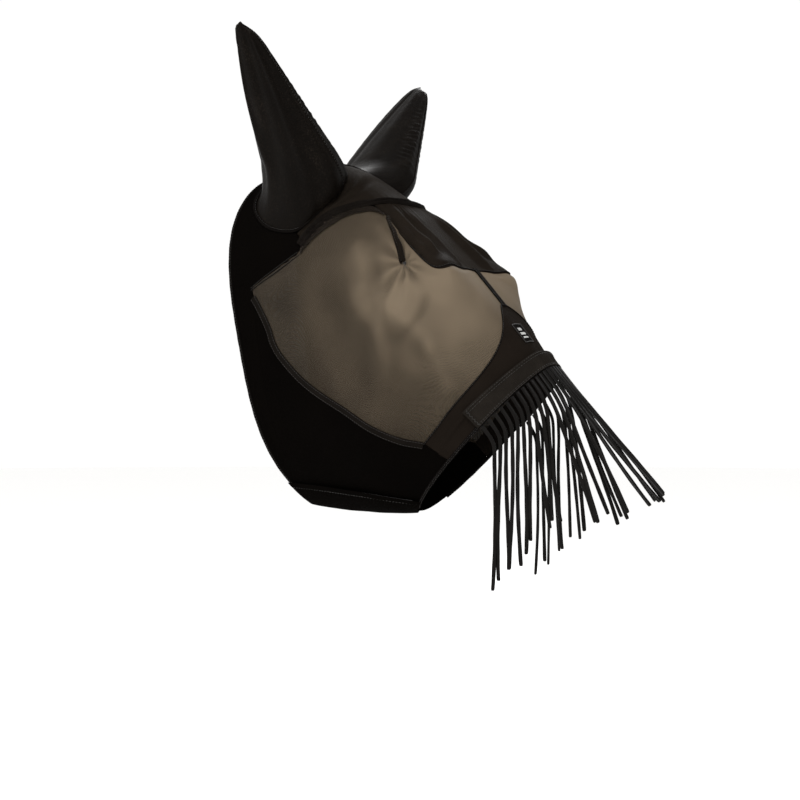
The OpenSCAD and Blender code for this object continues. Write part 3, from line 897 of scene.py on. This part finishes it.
def nose_relief(a, b, u, w):
    tuck = 1.6 * ridge(b, 0.34 + 0.5 * np.abs(a - 0.2), 0.05) * ridge(a, 0.12, 0.07)
    return MM * (tuck + 0.6 * ripple(a * 0.24, b * 0.1, 0.1, 7)) * smooth(b * 8) * smooth((1 - b) * 8)


def both(points, stretch=1.0, shift=0.0):
    return lambda t: tuple(np.moveaxis(both_sides(points, t) * np.array([1, stretch]) + np.array([shift, 0]), -1, 0))


def one_side(points, side, shift=(0, 0)):
    def spots(t):
        p = along(points, t) + np.array(shift)
        return p[..., 0], side * np.maximum(0.0008, p[..., 1])

    return spots


def make_panels(mat):
    head_cloth, net_cloth = 0.9 * MM, 0.6 * MM
    rows = [
        ("crown_panel", "crown", crown_spots, 220, 24, 0.7 * MM, "lycra", crown_relief),
        ("poll_panel", "poll", poll_spots, 220, 56, 0.6 * MM, "dark_mesh", poll_relief),
        ("forehead_panel", "forehead", forehead_spots, 200, 90, 0.8 * MM, "dark_mesh", forehead_relief),
        ("nose_panel", "nose", nose_spots, 180, 60, 0.7 * MM, "nose", nose_relief),
    ]
    for side, word in SIDES:
        edge = CHEEK_END if side < 0 else FLAP_START + 0.01
        cheek, eye = cheek_spots(side, edge), eye_spots(side)
        rows.append((f"cheek_panel_{word}", f"cheek_{word}", cheek, 240, 110, 0.6 * MM, "lycra", cheek_relief(side)))
        rows.append((f"eye_mesh_{word}", f"eye_{word}", eye, 240, 130, 0.9 * MM, "eye_mesh", eye_relief(side)))
    for node, name, spots, m, n, low, cloth, relief in rows:
        thick = net_cloth if cloth == "eye_mesh" else head_cloth
        obj, grid = patch(name, spots, m, n, low, thick, mat[cloth], relief, 0.02)
        finish_piece(obj, "head_shell", [node])
        declare(grid)


def make_corners(mat):
    """Small backing patches inside the shell, where crown, poll, cheek and eye mesh meet below each ear."""
    for side, word in SIDES:
        spots = lambda a, b, side=side: (mix(0.188, 0.238, a), side * mix(0.322, 0.382 - 0.012 * a, b))
        obj, grid = patch(f"corner_{word}", spots, 24, 24, -0.5 * MM, 0.6 * MM, mat["lycra"])
        finish_piece(obj, "head_shell")
        declare(grid)


def make_seams(mat):
    """The sewn seams between panels."""

    def nose_edge(t):
        out = np.abs(2 * t - 1)
        return eye_front(out)[0], out * EYE_LOW[-1][1] * np.where(t < 0.5, -1, 1)

    rows = [
        ("seam_forehead", both(FOREHEAD_LOW, 1.02, 0.002), 120, 0.9),
        ("seam_nose", nose_edge, 160, 1.0),
        ("seam_crown_right", one_side(CROWN_FRONT[7:], -1), 40, 0.8),
        ("seam_crown_left", one_side(CROWN_FRONT[7:], 1), 40, 0.8),
        ("seam_poll", both(POLL_REAR[:2], 1.0, -0.002), 30, 0.8),
    ]
    for side, word in SIDES:
        rows.append((f"seam_eye_rear_{word}", one_side(EYE_TOP[:3], side), 60, 0.8))
    for name, spots, m, radius in rows:
        seam_line(mat, name, spots, m, 1.9 * MM, radius * MM)


def sewn_tape(mat, node, slot, spots, m, width, crown, row_from_middle, row_high, row_points, wave=None):
    """A domed tape with a row of stitches along each edge."""
    obj, _ = tape(node, spots, m, width, 2.0 * MM, 0.7 * MM, mat[slot], 10, crown, wave)
    finish_piece(obj, "head_shell", [node])
    t = np.linspace(0, 1, row_points)
    points, up, across, _ = line_on_head(spots, t, np.full(row_points, row_high))
    for k, off in enumerate((-row_from_middle, row_from_middle)):
        stitches(mat, f"{node}_thread_{k + 1}", points + across * off, up, "head_shell")


def make_tapes(mat):
    def edge_wave(t, b):
        return 0.12 * MM * np.sin(t[:, None] * 420) * (np.abs(b)[None] > 0.3)

    for side, word in SIDES:
        low = one_side(EYE_LOW, side, (0, SEAM_W))
        sewn_tape(mat, f"seam_tape_{word}", "tape", low, 260, 9 * MM, 0.35 * MM, 3.2 * MM, 3.0 * MM, 200, edge_wave)
        make_dart(mat, side, word)
    centre = lambda t: (mix(0.698, 0.826, t), 0 * t)
    sewn_tape(mat, "centre_tape", "binding", centre, 90, 11 * MM, 0.5 * MM, 4.2 * MM, 3.05 * MM, 60)


def make_dart(mat, side, word):
    """The dart over the eye: a pinched ridge that widens to a tuck, ending in a knot with two thread tails."""
    t = np.linspace(0, 1, 70)
    spots = one_side(DART_LINE, side)
    points, up, across, go = line_on_head(spots, t, np.full(70, 2.4 * MM))
    girth = MM * mix(1.3, 3.1, smooth(t)) * (1 - 0.75 * smooth((t - 0.9) / 0.1))
    crest = points + up * (girth * 0.9)[:, None] + across * (0.5 * MM * np.sin(t * 21))[:, None]
    tuck = points + across * (side * mix(1.2, 4.6, t) * MM)[:, None] + up * 0.4 * MM
    shape = joined([sweep(crest, girth, 10, across, 1.15), sweep(tuck, girth * 0.7, 8, across, 0.6)])
    shaped(f"dart_{word}", shape, mat["dark_mesh"], "head_shell", [f"eye_dart_{word}"])
    sewn = [stitch_points(crest, up, 0.0042)]
    end, out, sideways, ahead = crest[-1], up[-1], across[-1], go[-1]
    knot_turn = np.linspace(0, math.tau * 2, 50)
    knot = end + 1.3 * MM * (np.cos(knot_turn)[:, None] * ahead + np.sin(knot_turn)[:, None] * sideways)
    knot = knot + out * (0.8 * MM * np.sin(1.5 * knot_turn) + 0.6 * MM)[:, None]
    sewn.append(sweep(knot, 0.75 * MM, 7))
    for lean, long in ((0.5, 9), (-0.9, 7)):
        k = np.linspace(0, 1, 16)[:, None]
        tail = end + ahead * long * MM * k + sideways * lean * 4 * MM * k**2
        sewn.append(sweep(tail + out * MM * (1.2 * np.sin(k * 3) - 0.8 * k), 0.3 * MM, 6))
    shaped(f"dart_{word}_knot", joined(sewn), mat["thread"], "head_shell")


def stitch_points(line, up, pitch):
    """Overcast stitches wrapped over a thin ridge."""
    run = lengths(line[None], 1)[0]
    parts = []
    go = unit(np.gradient(line, axis=0))
    across = np.cross(up, go)
    for k in range(int(run[-1] / pitch)):
        s = (k + 0.5) * pitch
        at = np.array([np.interp(s, run, line[:, i]) for i in range(3)])
        o, c = (np.array([np.interp(s, run, v[:, i]) for i in range(3)]) for v in (up, across))
        turn = np.linspace(-1.3, 1.3, 8)[:, None]
        bow = np.sin(turn) * c + np.cos(turn) * o * 0.9
        parts.append(sweep(at + mix(1.7, 3.2, s / run[-1]) * MM * bow, 0.25 * MM, 5))
    return joined(parts)


def brow_gathers(t):
    """How far each spot of the brow band is gathered into cross folds, most at its ends."""
    return smooth((np.abs(2 * t - 1) - 0.45) / 0.4)


def make_brow(mat):
    """Two thin rolls of gathered elastic across the brow, fanning into folds at both ends."""
    m, n = 640, 36
    t, b = np.linspace(0, 1, m + 1), np.linspace(-0.5, 0.5, n + 1)
    points, up, across, _ = line_on_head(both(BROW_LINE), t, np.zeros(m + 1))
    run = lengths(points[None], 1)[0][:, None]
    ends = brow_gathers(t)[:, None]
    width = (12.5 + 2.5 * ends) * MM * (1 + 0.06 * np.sin(run * 90) + 0.04 * np.sin(run * 217))
    first = -0.25 + 0.09 * np.sin(run * 37) + 0.05 * np.sin(run * 96 + 1)
    second = 0.17 + 0.08 * np.sin(run * 29 + 2) + 0.04 * np.sin(run * 118)
    rolls = (1 + 0.25 * np.sin(run * 53)) * ridge(b[None], first, 0.13)
    rolls = rolls + (0.8 + 0.3 * np.sin(run * 44 + 2)) * ridge(b[None], second, 0.12)
    strands = 0.30 * np.sin(b[None] * 55 + 2 * np.sin(run * 40)) * (1 - ends)
    crimp = np.sin(run * 700 + 4 * np.sin(run * 60) + 9 * b[None]) * (0.6 + 0.4 * np.sin(run * 31))
    fan = np.sin(run * 520 + 3 * np.sin(run * 41) + 7 * b[None]) + 0.5 * np.sin(run * 890 + 9 * b[None])
    high = MM * (0.7 + 2.6 * rolls * (1 - 0.35 * ends) + strands + 0.16 * crimp + 0.75 * ends * fan)
    high = high * (1 - 0.75 * np.abs(2 * b[None]) ** 6)
    inner = points[:, None] + across[:, None] * (b[None] * width)[..., None] + up[:, None] * 2.2 * MM
    outer = inner + up[:, None] * np.maximum(0.5 * MM, high)[..., None]
    obj = slab("brow_band", outer, inner, cloth_map(outer), mat["elastic"])
    finish_piece(obj, "head_shell", ["brow_band"])


def make_brow_shadow(mat):
    """A dark strip of net on the eye mesh, under the brow band on each side: painted shadow of the band."""
    for side, word in SIDES:
        def spots(a, b, side=side):
            rear = along(EYE_TOP[2:7], a) - np.array([0, 0.012])
            deep = 0.012 * smooth(a * 2.5) * smooth((1 - a) * 2.5) + 0.010
            return rear[..., 0] + deep * b * 0.5, side * (rear[..., 1] + deep * 1.2 * b)

        fold = lambda a, b, u, w: MM * (1.5 * b + 0.1 * np.sin(a * 30 + 5 * b))
        # Painted shadow: a dark net strip where the brow band's shade falls on the eye mesh
        obj, grid = patch(f"brow_shadow_{word}", spots, 140, 20, 2.4 * MM, 0.5 * MM, mat["shadow_net"], fold, 0.02)
        finish_piece(obj, "head_shell")
        declare(grid)


def make_bindings(mat):
    """Rolled and gathered edges at the neck and the nose."""
    for node, u in (("neck_binding", BINDING_U * 0.5), ("nose_binding", 1 - BINDING_U * 0.5)):
        m = 900
        t = np.linspace(0, 1, m + 1)
        spots = lambda t, u=u: (u + 0 * t, mix(-CHEEK_END, FLAP_SEAM, t))
        points, up, across, _ = line_on_head(spots, t, np.full(m + 1, 1.3 * MM))
        run = lengths(points[None], 1)[0]
        girth = 2.45 * MM * (1 + 0.05 * np.sin(run * 1500) + 0.05 * np.sin(run * 260 + 1))
        shaped(node, sweep(points, girth, 10, across, 0.68), mat["binding"], "head_shell", [node])
        for k, off in enumerate((-0.9, 0.9)):
            row = points + across * off * MM + up * 1.45 * MM
            stitches(mat, f"{node}_thread_{k + 1}", row, up, "head_shell", share=0.62, radius=0.00022)


def make_badge(mat):
    """A small plain label: a dark woven patch with a stitched rim and three pale bars of satin stitch."""
    spots = lambda a, b: (mix(0.872, 0.916, a), mix(-0.062, 0.004, b))
    weave = lambda a, b, u, w: 0.10 * MM * np.sin(a * 90) * np.sin(b * 90)
    obj, _ = patch("badge", spots, 60, 60, 2.1 * MM, 0.5 * MM, mat["binding"], weave, 0.05)
    finish_piece(obj, "head_shell", ["badge"])
    parts = []
    for low, high, start, end in ((0.24, 0.38, 0.30, 0.70), (0.48, 0.60, 0.20, 0.80), (0.70, 0.78, 0.20, 0.80)):
        for k in range(26):
            b = mix(start, end, (k + 0.5) / 26) + 0.004 * math.sin(k * 2.3)
            a = np.linspace(low, high, 7)
            u, w = spots(a, np.full(7, b))
            bow = (2.9 + 0.35 * np.sin(np.linspace(0, math.pi, 7))) * MM
            parts.append(sweep(skin_at(u, w, bow), 0.33 * MM, 6))
    shaped("badge_bars", joined(parts), mat["label"], "head_shell")
    edge = np.array([[0, 0], [1, 0], [1, 1], [0, 1], [0, 0]], float)
    t = np.linspace(0, 4, 121)
    ab = np.stack([np.interp(t, range(5), edge[:, k]) for k in range(2)], -1) * 0.96 + 0.02
    u, w = spots(ab[:, 0], ab[:, 1])
    line, up = skin_at(u, w, np.full(121, 2.8 * MM)), normal(u, w)
    shaped("badge_rim", sweep(line, 0.5 * MM, 7, up), mat["thread"], "head_shell")


# ---------------------------------------------------------------- ear covers


def ear_ring(side, t, high):
    p = around(EAR_LOOP, t)
    return skin_at(p[..., 0], side * p[..., 1], np.full(np.shape(t), high))


def ear_frame(side):
    """The foot, and the up, wide and deep directions of an ear cover, as in the CAD."""
    foot = ear_ring(side, np.arange(20) / 20, 0).mean(0) + EAR_FOOT * np.array([1, side, 1])
    lean = EAR_LEAN + side * EAR_SWAY
    level = math.cos(EAR_PITCH)
    up = np.array([math.sin(EAR_PITCH), side * math.sin(lean) * level, math.cos(lean) * level])
    wide = unit(np.cross(np.array([0, side, 0]), up) * side)
    return foot, up, wide, np.cross(up, wide) * side


def ear_cone(side, h, turn, inset):
    foot, up, wide, deep = ear_frame(side)
    shift = MM * (16 * (1 - h) ** 2 - 6 * h)
    half_w = mix(EAR_TIP_W, EAR_HALF_W, (1 - h) ** EAR_TAPER[0 if side < 0 else 1]) - inset
    half_d = mix(EAR_TIP_D, EAR_HALF_D, (1 - h) ** 0.9) - inset
    c, s = np.cos(turn)[..., None], np.sin(turn)[..., None]
    middle = foot + up * (EAR_LEN * h)[..., None] + wide * shift[..., None]
    return middle + wide * half_w[..., None] * c + deep * half_d[..., None] * s


SKIRT_TOP = 0.26
TIP_FROM = 0.955
TIP_SLANT = 7 * MM
# Long folds of an ear cover: angle round it, width and drift in degrees, height in mm
EAR_FOLDS = (
    (28, 11, 8, 1.9), (62, 9, -12, 2.4), (96, 15, 14, -2.2), (128, 10, -16, 2.6), (152, 9, 10, -1.8),
    (205, 14, 10, 1.8), (240, 12, -12, -2.0), (275, 16, 10, 2.2), (315, 12, -8, -1.8), (338, 9, 6, 1.6),
)


def ear_skin(side, h, turn, inset):
    """The cover's surface from the seam on the head, h = 0, to the tip, h = 1."""
    _, up, wide, deep = ear_frame(side)
    ring = ear_ring(side, np.arange(720) / 720, 2.2 * MM)
    middle = ring.mean(0)
    angle = np.arctan2((ring - middle) @ deep / EAR_HALF_D, (ring - middle) @ wide / EAR_HALF_W)
    order = np.argsort(angle)
    base = np.stack([np.interp(turn, angle[order], ring[order, k], period=math.tau) for k in range(3)], -1)
    body = mix(base, ear_cone(side, h, turn, inset), smooth(h / SKIRT_TOP)[..., None])
    middle = ear_cone(side, h, turn, inset) * 0.5 + ear_cone(side, h, turn + math.pi, inset) * 0.5
    close = np.sqrt(np.clip(1 - ((h - TIP_FROM) / (1.001 - TIP_FROM)).clip(0) ** 2, 0.004, 1))
    drop = TIP_SLANT * (0.5 + 0.5 * np.cos(turn)) * smooth((h - 0.86) / 0.14)
    return middle + (body - middle) * close[..., None] - up * drop[..., None]


def ear_folds(side, h, turn):
    """Long soft folds of the ear cloth, and fine crinkles along its front seam."""
    x = np.degrees(turn) % 360
    body = smooth(h / 0.12) * smooth((1 - h) / 0.1)
    long = 0
    for at, wide, drift, deep in EAR_FOLDS:
        centre = at + drift * np.sin(2.6 * h + at)
        long = long + deep * ridge(x, centre, wide * (1 - 0.3 * h)) * smooth(1.15 - np.abs(h - 0.45) * 1.2)
    from_front = ((x + 180) % 360) - 180
    beside = ridge(from_front, 34, 16) + ridge(from_front, -34, 16)
    fine = 0.55 * np.sin(h * 118 + 3 * np.sin(h * 17) + x * 0.09) + 0.4 * np.sin(h * 187 - x * 0.07)
    crinkle = 0.12 * ridge(from_front, 0, 26) * np.sin(h * 92 + x * 0.05) + beside * ridge(h, 0.52, 0.2) * fine
    back = ridge(x, 180, 20) * 0.25 * np.sin(h * 80 + x * 0.06)
    slump = 1.6 * np.sin(x / 57.3 * 5 + side) * np.exp(-(((h - 0.16) / 0.1) ** 2))
    return MM * (body * (long + crinkle + back) + slump)


def make_ear(mat, side, word):
    m, n = 260, 240
    h = (np.linspace(0, 1, m + 1) ** 0.95)[:, None] + np.zeros((1, n))
    turn = np.zeros((m + 1, 1)) + (np.arange(n) * math.tau / n)[None]
    body = ear_skin(side, h, turn, 0.0)
    around_dir = np.roll(body, -1, 1) - np.roll(body, 1, 1)
    out = unit(np.cross(around_dir, np.gradient(body, axis=0)) * side)
    centre = body.mean(1, keepdims=True)
    out = out * np.sign((out * (body - centre)).sum(-1).mean())
    fold = ear_folds(side, h, turn)
    outer = body + out * (fold - 0.2 * MM)[..., None]
    inner = body + out * (fold - 1.0 * MM)[..., None]
    girth = EAR_HALF_W * 3.6 * (1 - 0.75 * h)
    uv = np.stack([turn / math.tau * girth, h * EAR_LEN], -1)
    if side > 0:
        outer, inner, uv = outer[:, ::-1], inner[:, ::-1], uv[:, ::-1]
    obj = ear_slab(f"ear_{word}", outer, inner, uv, mat["satin"])
    foot, up, _, _ = ear_frame(side)
    bend = ("head_shell", f"{word}_ear", foot + up * 0.03 * EAR_LEN, foot + up * 0.24 * EAR_LEN)
    finish_piece(obj, None, [f"ear_outer_{word}", f"ear_inner_{word}"], bend)
    make_ear_seams(mat, side, word, bend)


def ear_slab(name, outer, inner, uv, material):
    """A closed tube of cloth, open at its foot and shut at its tip."""
    rows, columns = outer.shape[:2]
    count = rows * columns
    side = grid_faces(rows, columns, close_columns=True)
    k = np.arange(columns)
    foot = np.stack([k, (k + 1) % columns, (k + 1) % columns + count, k + count], -1)
    tip = (rows - 1) * columns
    faces = [*side.tolist(), *(side[:, ::-1] + count).tolist(), *foot[:, ::-1].tolist()]
    tops = 2 * count
    ends = [outer[-1].mean(0), inner[-1].mean(0)]
    faces += [[tip + j, tops, tip + (j + 1) % columns][::-1] for j in range(columns)]
    faces += [[tip + count + j, tops + 1, tip + count + (j + 1) % columns] for j in range(columns)]
    points = np.concatenate([outer.reshape(-1, 3), inner.reshape(-1, 3), ends])
    uvs = np.concatenate([uv.reshape(-1, 2), uv.reshape(-1, 2), [[0, 0], [0, 0]]])
    obj = make_mesh(name, points, faces, uvs)
    obj.data.materials.append(material)
    return obj


def make_ear_seams(mat, side, word, bend):
    """The raised seams on the front and back edges of an ear cover, with their stitches."""
    h = np.linspace(0.03, 0.985, 200)
    _, _, wide, deep = ear_frame(side)
    for part, angle, out in (("front", 0.0, wide), ("back", math.pi, -wide)):
        turn = np.full_like(h, angle)
        line = ear_skin(side, h, turn, 0.0)
        fold = ear_folds(side, h, turn)
        line = line + out * (fold + 0.1 * MM)[:, None]
        girth = 0.8 * MM * (1 + 0.06 * np.sin(h * 420)) * (1 - 0.6 * smooth((h - 0.94) / 0.05))
        deep_all = np.broadcast_to(deep, line.shape)
        ridge_shape = sweep(line, girth, 8, deep_all, 1.1)
        shaped(f"ear_{word}_seam_{part}", ridge_shape, mat["satin"], None, (), bend)
        row = line + deep * 0.75 * MM + out * 0.1 * MM
        stitches(mat, f"ear_{word}_thread_{part}", row, deep_all, None, 0.004, blend=bend)


def make_ear_trim(mat, side, word):
    """The piped seam where an ear cover meets the head."""
    t = np.linspace(0, 1, 401)
    line = ear_ring(side, t, 3.1 * MM)
    p = around(EAR_LOOP, t)
    up = normal(p[..., 0], side * p[..., 1])
    run = lengths(line[None], 1)[0]
    across = unit(np.cross(up, unit(np.gradient(line, axis=0))))
    girth = 1.7 * MM * (1 + 0.10 * np.sin(run * 900 + 2 * np.sin(run * 70)) + 0.08 * np.sin(run * 120))
    pipe = sweep(line, girth, 9, across, 0.9)
    shaped(f"ear_trim_{word}", pipe, mat["binding"], "head_shell", [f"ear_trim_{word}"])
    row = line + up * 1.0 * MM - across * 2.0 * MM
    stitches(mat, f"ear_trim_{word}_thread", row, up, "head_shell", radius=0.00022)


# ---------------------------------------------------------------- jaw closure


def make_jaw(mat):
    flap_spots = lambda a, b: (mix(0.008, 0.992, a), mix(FLAP_START, FLAP_TIP, b))

    def lift(a, b, u, w):
        rise = COVER_H * smooth((w - LIFT_FROM) / LIFT_OVER)
        slack = 0.7 * ripple(a * 0.4, b * 0.16, 0.1, 8)
        hem = 0.35 * ((b > 0.955) & (b < 0.985)) + 0.25 * np.sin(a * 200) * ridge(b, 0.93, 0.02)
        return rise + MM * (slack + hem) * smooth((1 - b) * 20) * smooth(b * 20)

    obj, grid = patch("jaw_flap", flap_spots, 220, 160, 0.5 * MM, 1.0 * MM, mat["lycra"], lift, 0.015)
    hinge = Vector((0.053, 0.057, -0.405))
    span = (hinge + Vector((0, -0.017, -0.017)), hinge + Vector((0, -0.040, -0.040)))
    finish_piece(obj, None, ["jaw_flap"], ("head_shell", "chin_closure", *span))
    declare(grid)
    t = np.linspace(0.02, 0.98, 300)
    u, w = mix(0.008, 0.992, t), np.full_like(t, FLAP_TIP - 0.018)
    line = skin_at(u, w, np.full_like(t, COVER_H + 1.7 * MM))
    stitches(mat, "jaw_flap_thread", line, normal(u, w), "chin_closure", 0.004, radius=0.00026)

    def rough(seed):
        def relief(a, b, u, w):
            return MM * (0.22 * ripple(a * 0.33, b * 0.03, 0.0035, seed) + 0.12 * np.sin(a * 800) * np.sin(b * 80))

        return relief

    for node, body, high, low_w, high_w, name, seed in (
        ("loop_strip", "head_shell", TAPE_H, 0.805, 0.870, "loop", 1),
        ("hook_strip", "chin_closure", HOOK_H, 0.800, 0.860, "hook", 2),
    ):
        spots = lambda a, b, low_w=low_w, high_w=high_w: (mix(0.10, 0.92, a), -mix(low_w, high_w, b))
        obj, _ = patch(node, spots, 300, 20, high, 0.6 * MM, mat[name], rough(seed))
        finish_piece(obj, body, [node])


# ---------------------------------------------------------------- nose fringe


def band_spots(inset, end):
    def spots(a, b):
        w = mix(-1, 1, a) * (BAND_END - inset / 300)
        top = 0.998 - BAND_W / mix(BAND_SCALE[0], BAND_SCALE[1], (w / BAND_END) ** 2)
        return mix(top + inset / 500, end, b), w

    return spots


def make_band(mat):
    def wavy(a, b, u, w):
        ribs = 0.16 * np.sin(a * 620) * (0.3 + ridge(b, 0.5, 0.3))
        return MM * (0.45 * ripple(a * 0.25, b * 0.027, 0.03, 3) + ribs + 0.35 * ((b < 0.10) | (b > 0.9)))

    spots = band_spots(0, 0.998)
    obj, grid = patch("fringe_band", spots, 420, 36, COVER_H + 0.3 * MM, 1.5 * MM, mat["fringe"], wavy, 0.02)
    finish_piece(obj, "fringe", ["fringe_band"])
    declare(grid)
    for k, b in enumerate((0.06, 0.16, 0.84, 0.94)):
        t = np.linspace(0.01, 0.99, 200)
        u, w = spots(t, np.full_like(t, b))
        line = skin_at(u, w, np.full_like(t, COVER_H + 2.2 * MM))
        stitches(mat, f"fringe_band_thread_{k + 1}", line, normal(u, w), "fringe", 0.0038, radius=0.00028)
    for end, word in ((0.012, "right"), (0.988, "left")):
        b = np.linspace(0.08, 0.92, 40)
        u, w = spots(np.full_like(b, end), b)
        line, up = skin_at(u, w, np.full_like(b, COVER_H + 2.3 * MM)), normal(u, w)
        across = unit(np.cross(up, unit(np.gradient(line, axis=0))))
        stitches(mat, f"fringe_band_end_{word}", line, up, "fringe", 0.0022, 0.9, 0.0003, 0.0011, across)
    rough = lambda a, b, u, w: 0.2 * MM * ripple(a * 0.25, b * 0.02, 0.0035, 5)
    for node, body, high, name in (
        ("fringe_hook_tape", "fringe", HOOK_H, "hook"),
        ("fringe_loop_tape", "head_shell", TAPE_H, "loop"),
    ):
        obj, _ = patch(node, band_spots(1.5, 0.984), 300, 16, high, 0.6 * MM, mat[name], rough)
        finish_piece(obj, body, [node])


def strand_line(k, count):
    """The middle line of a strand, as in the CAD, through count points."""
    share, long, drift, down = STRANDS[k]
    w = share * BAND_END
    lie = forward(1.0, w)
    root = skin_at(1.0, w, COVER_H + BAND_T / 2) + MM * lie
    slope, bend = math.radians(down), MM * mix(*BEND_OVER, (down - NOSE_SLOPE) / (90 - NOSE_SLOPE))
    hang = unit(np.array([math.cos(slope), drift / long, -math.sin(slope)]))
    step = long * MM / (STRAND_RINGS - 1)
    line = [root]
    for ring in range(STRAND_RINGS - 1):
        way = mix(lie * np.array([1, 0.4, 1]), hang, smooth((ring + 0.5) * step / bend))
        line.append(line[-1] + unit(way) * step)
    return along(line, np.linspace(0, 1, count))


def make_strand(k):
    """A flat leather strip that hangs and twists a little."""
    line = strand_line(k, STRAND_POINTS)
    t = np.linspace(0, 1, STRAND_POINTS)
    share = STRANDS[k][0]
    face = normal(1.0, share * BAND_END)
    go = unit(np.gradient(line, axis=0))
    flat = unit(np.cross(face, go))
    lift = np.cross(go, flat)
    settle = 44 * smooth((share + 0.8) / 0.6) if share < 0.12 else -46 * (1 - smooth((share - 0.35) / 0.4))
    settle = math.radians(settle) * smooth(t * 2.2)
    twist = settle + np.radians(13 * math.sin(k * 2.1 + 0.6)) * smooth(t * 1.3)
    twist = twist + np.radians(9) * np.sin(t * 5 + k * 1.7) * t
    sway = STRAND_SWAY * MM * t * smooth(t * 2)
    line = line + flat * (sway * np.sin(3.4 * t + k * 2.4))[:, None] + lift * (sway * np.sin(2.6 * t + k * 1.1))[:, None]
    across = np.cos(twist)[:, None] * flat + np.sin(twist)[:, None] * lift
    out = np.cross(go, across)
    fine = np.linspace(0, 1, STRAND_FINE_POINTS)
    grow = lambda v: along(v, fine)
    line_f, across_f, out_f = grow(line), unit(grow(across)), unit(grow(out))
    half = STRAND_W / 2 * (1 + 0.05 * np.sin(fine * 31 + k)) * (1 - 0.35 * smooth((fine - 0.985) / 0.015))
    ring = [line_f + across_f * (x * half)[:, None] + out_f * y * STRAND_T / 2 for x, y in STRAND_SHAPE]
    grid = np.stack(ring, 1)
    sides, last = len(STRAND_SHAPE), STRAND_FINE_POINTS * len(STRAND_SHAPE)
    faces = grid_faces(STRAND_FINE_POINTS, sides, close_columns=True).tolist()
    faces += [list(range(sides))[::-1], list(range(last - sides, last))]
    return make_mesh(f"strand_{k + 1:02d}_strip", grid.reshape(-1, 3), faces), line


def make_strands(mat):
    for k, (_, long, _, _) in enumerate(STRANDS):
        node = f"strand_{k + 1:02d}"
        obj, line = make_strand(k)
        obj.data.materials.append(mat["strip"])
        finish_piece(obj, node, [node])


add_camera()
materials = make_materials()
make_strands(materials)
make_band(materials)
make_panels(materials)
make_corners(materials)
make_seams(materials)
make_tapes(materials)
make_brow(materials)
make_brow_shadow(materials)
make_bindings(materials)
make_badge(materials)
for ear_side, ear_word in SIDES:
    make_ear(materials, ear_side, ear_word)
    make_ear_trim(materials, ear_side, ear_word)
make_jaw(materials)
add_studio()
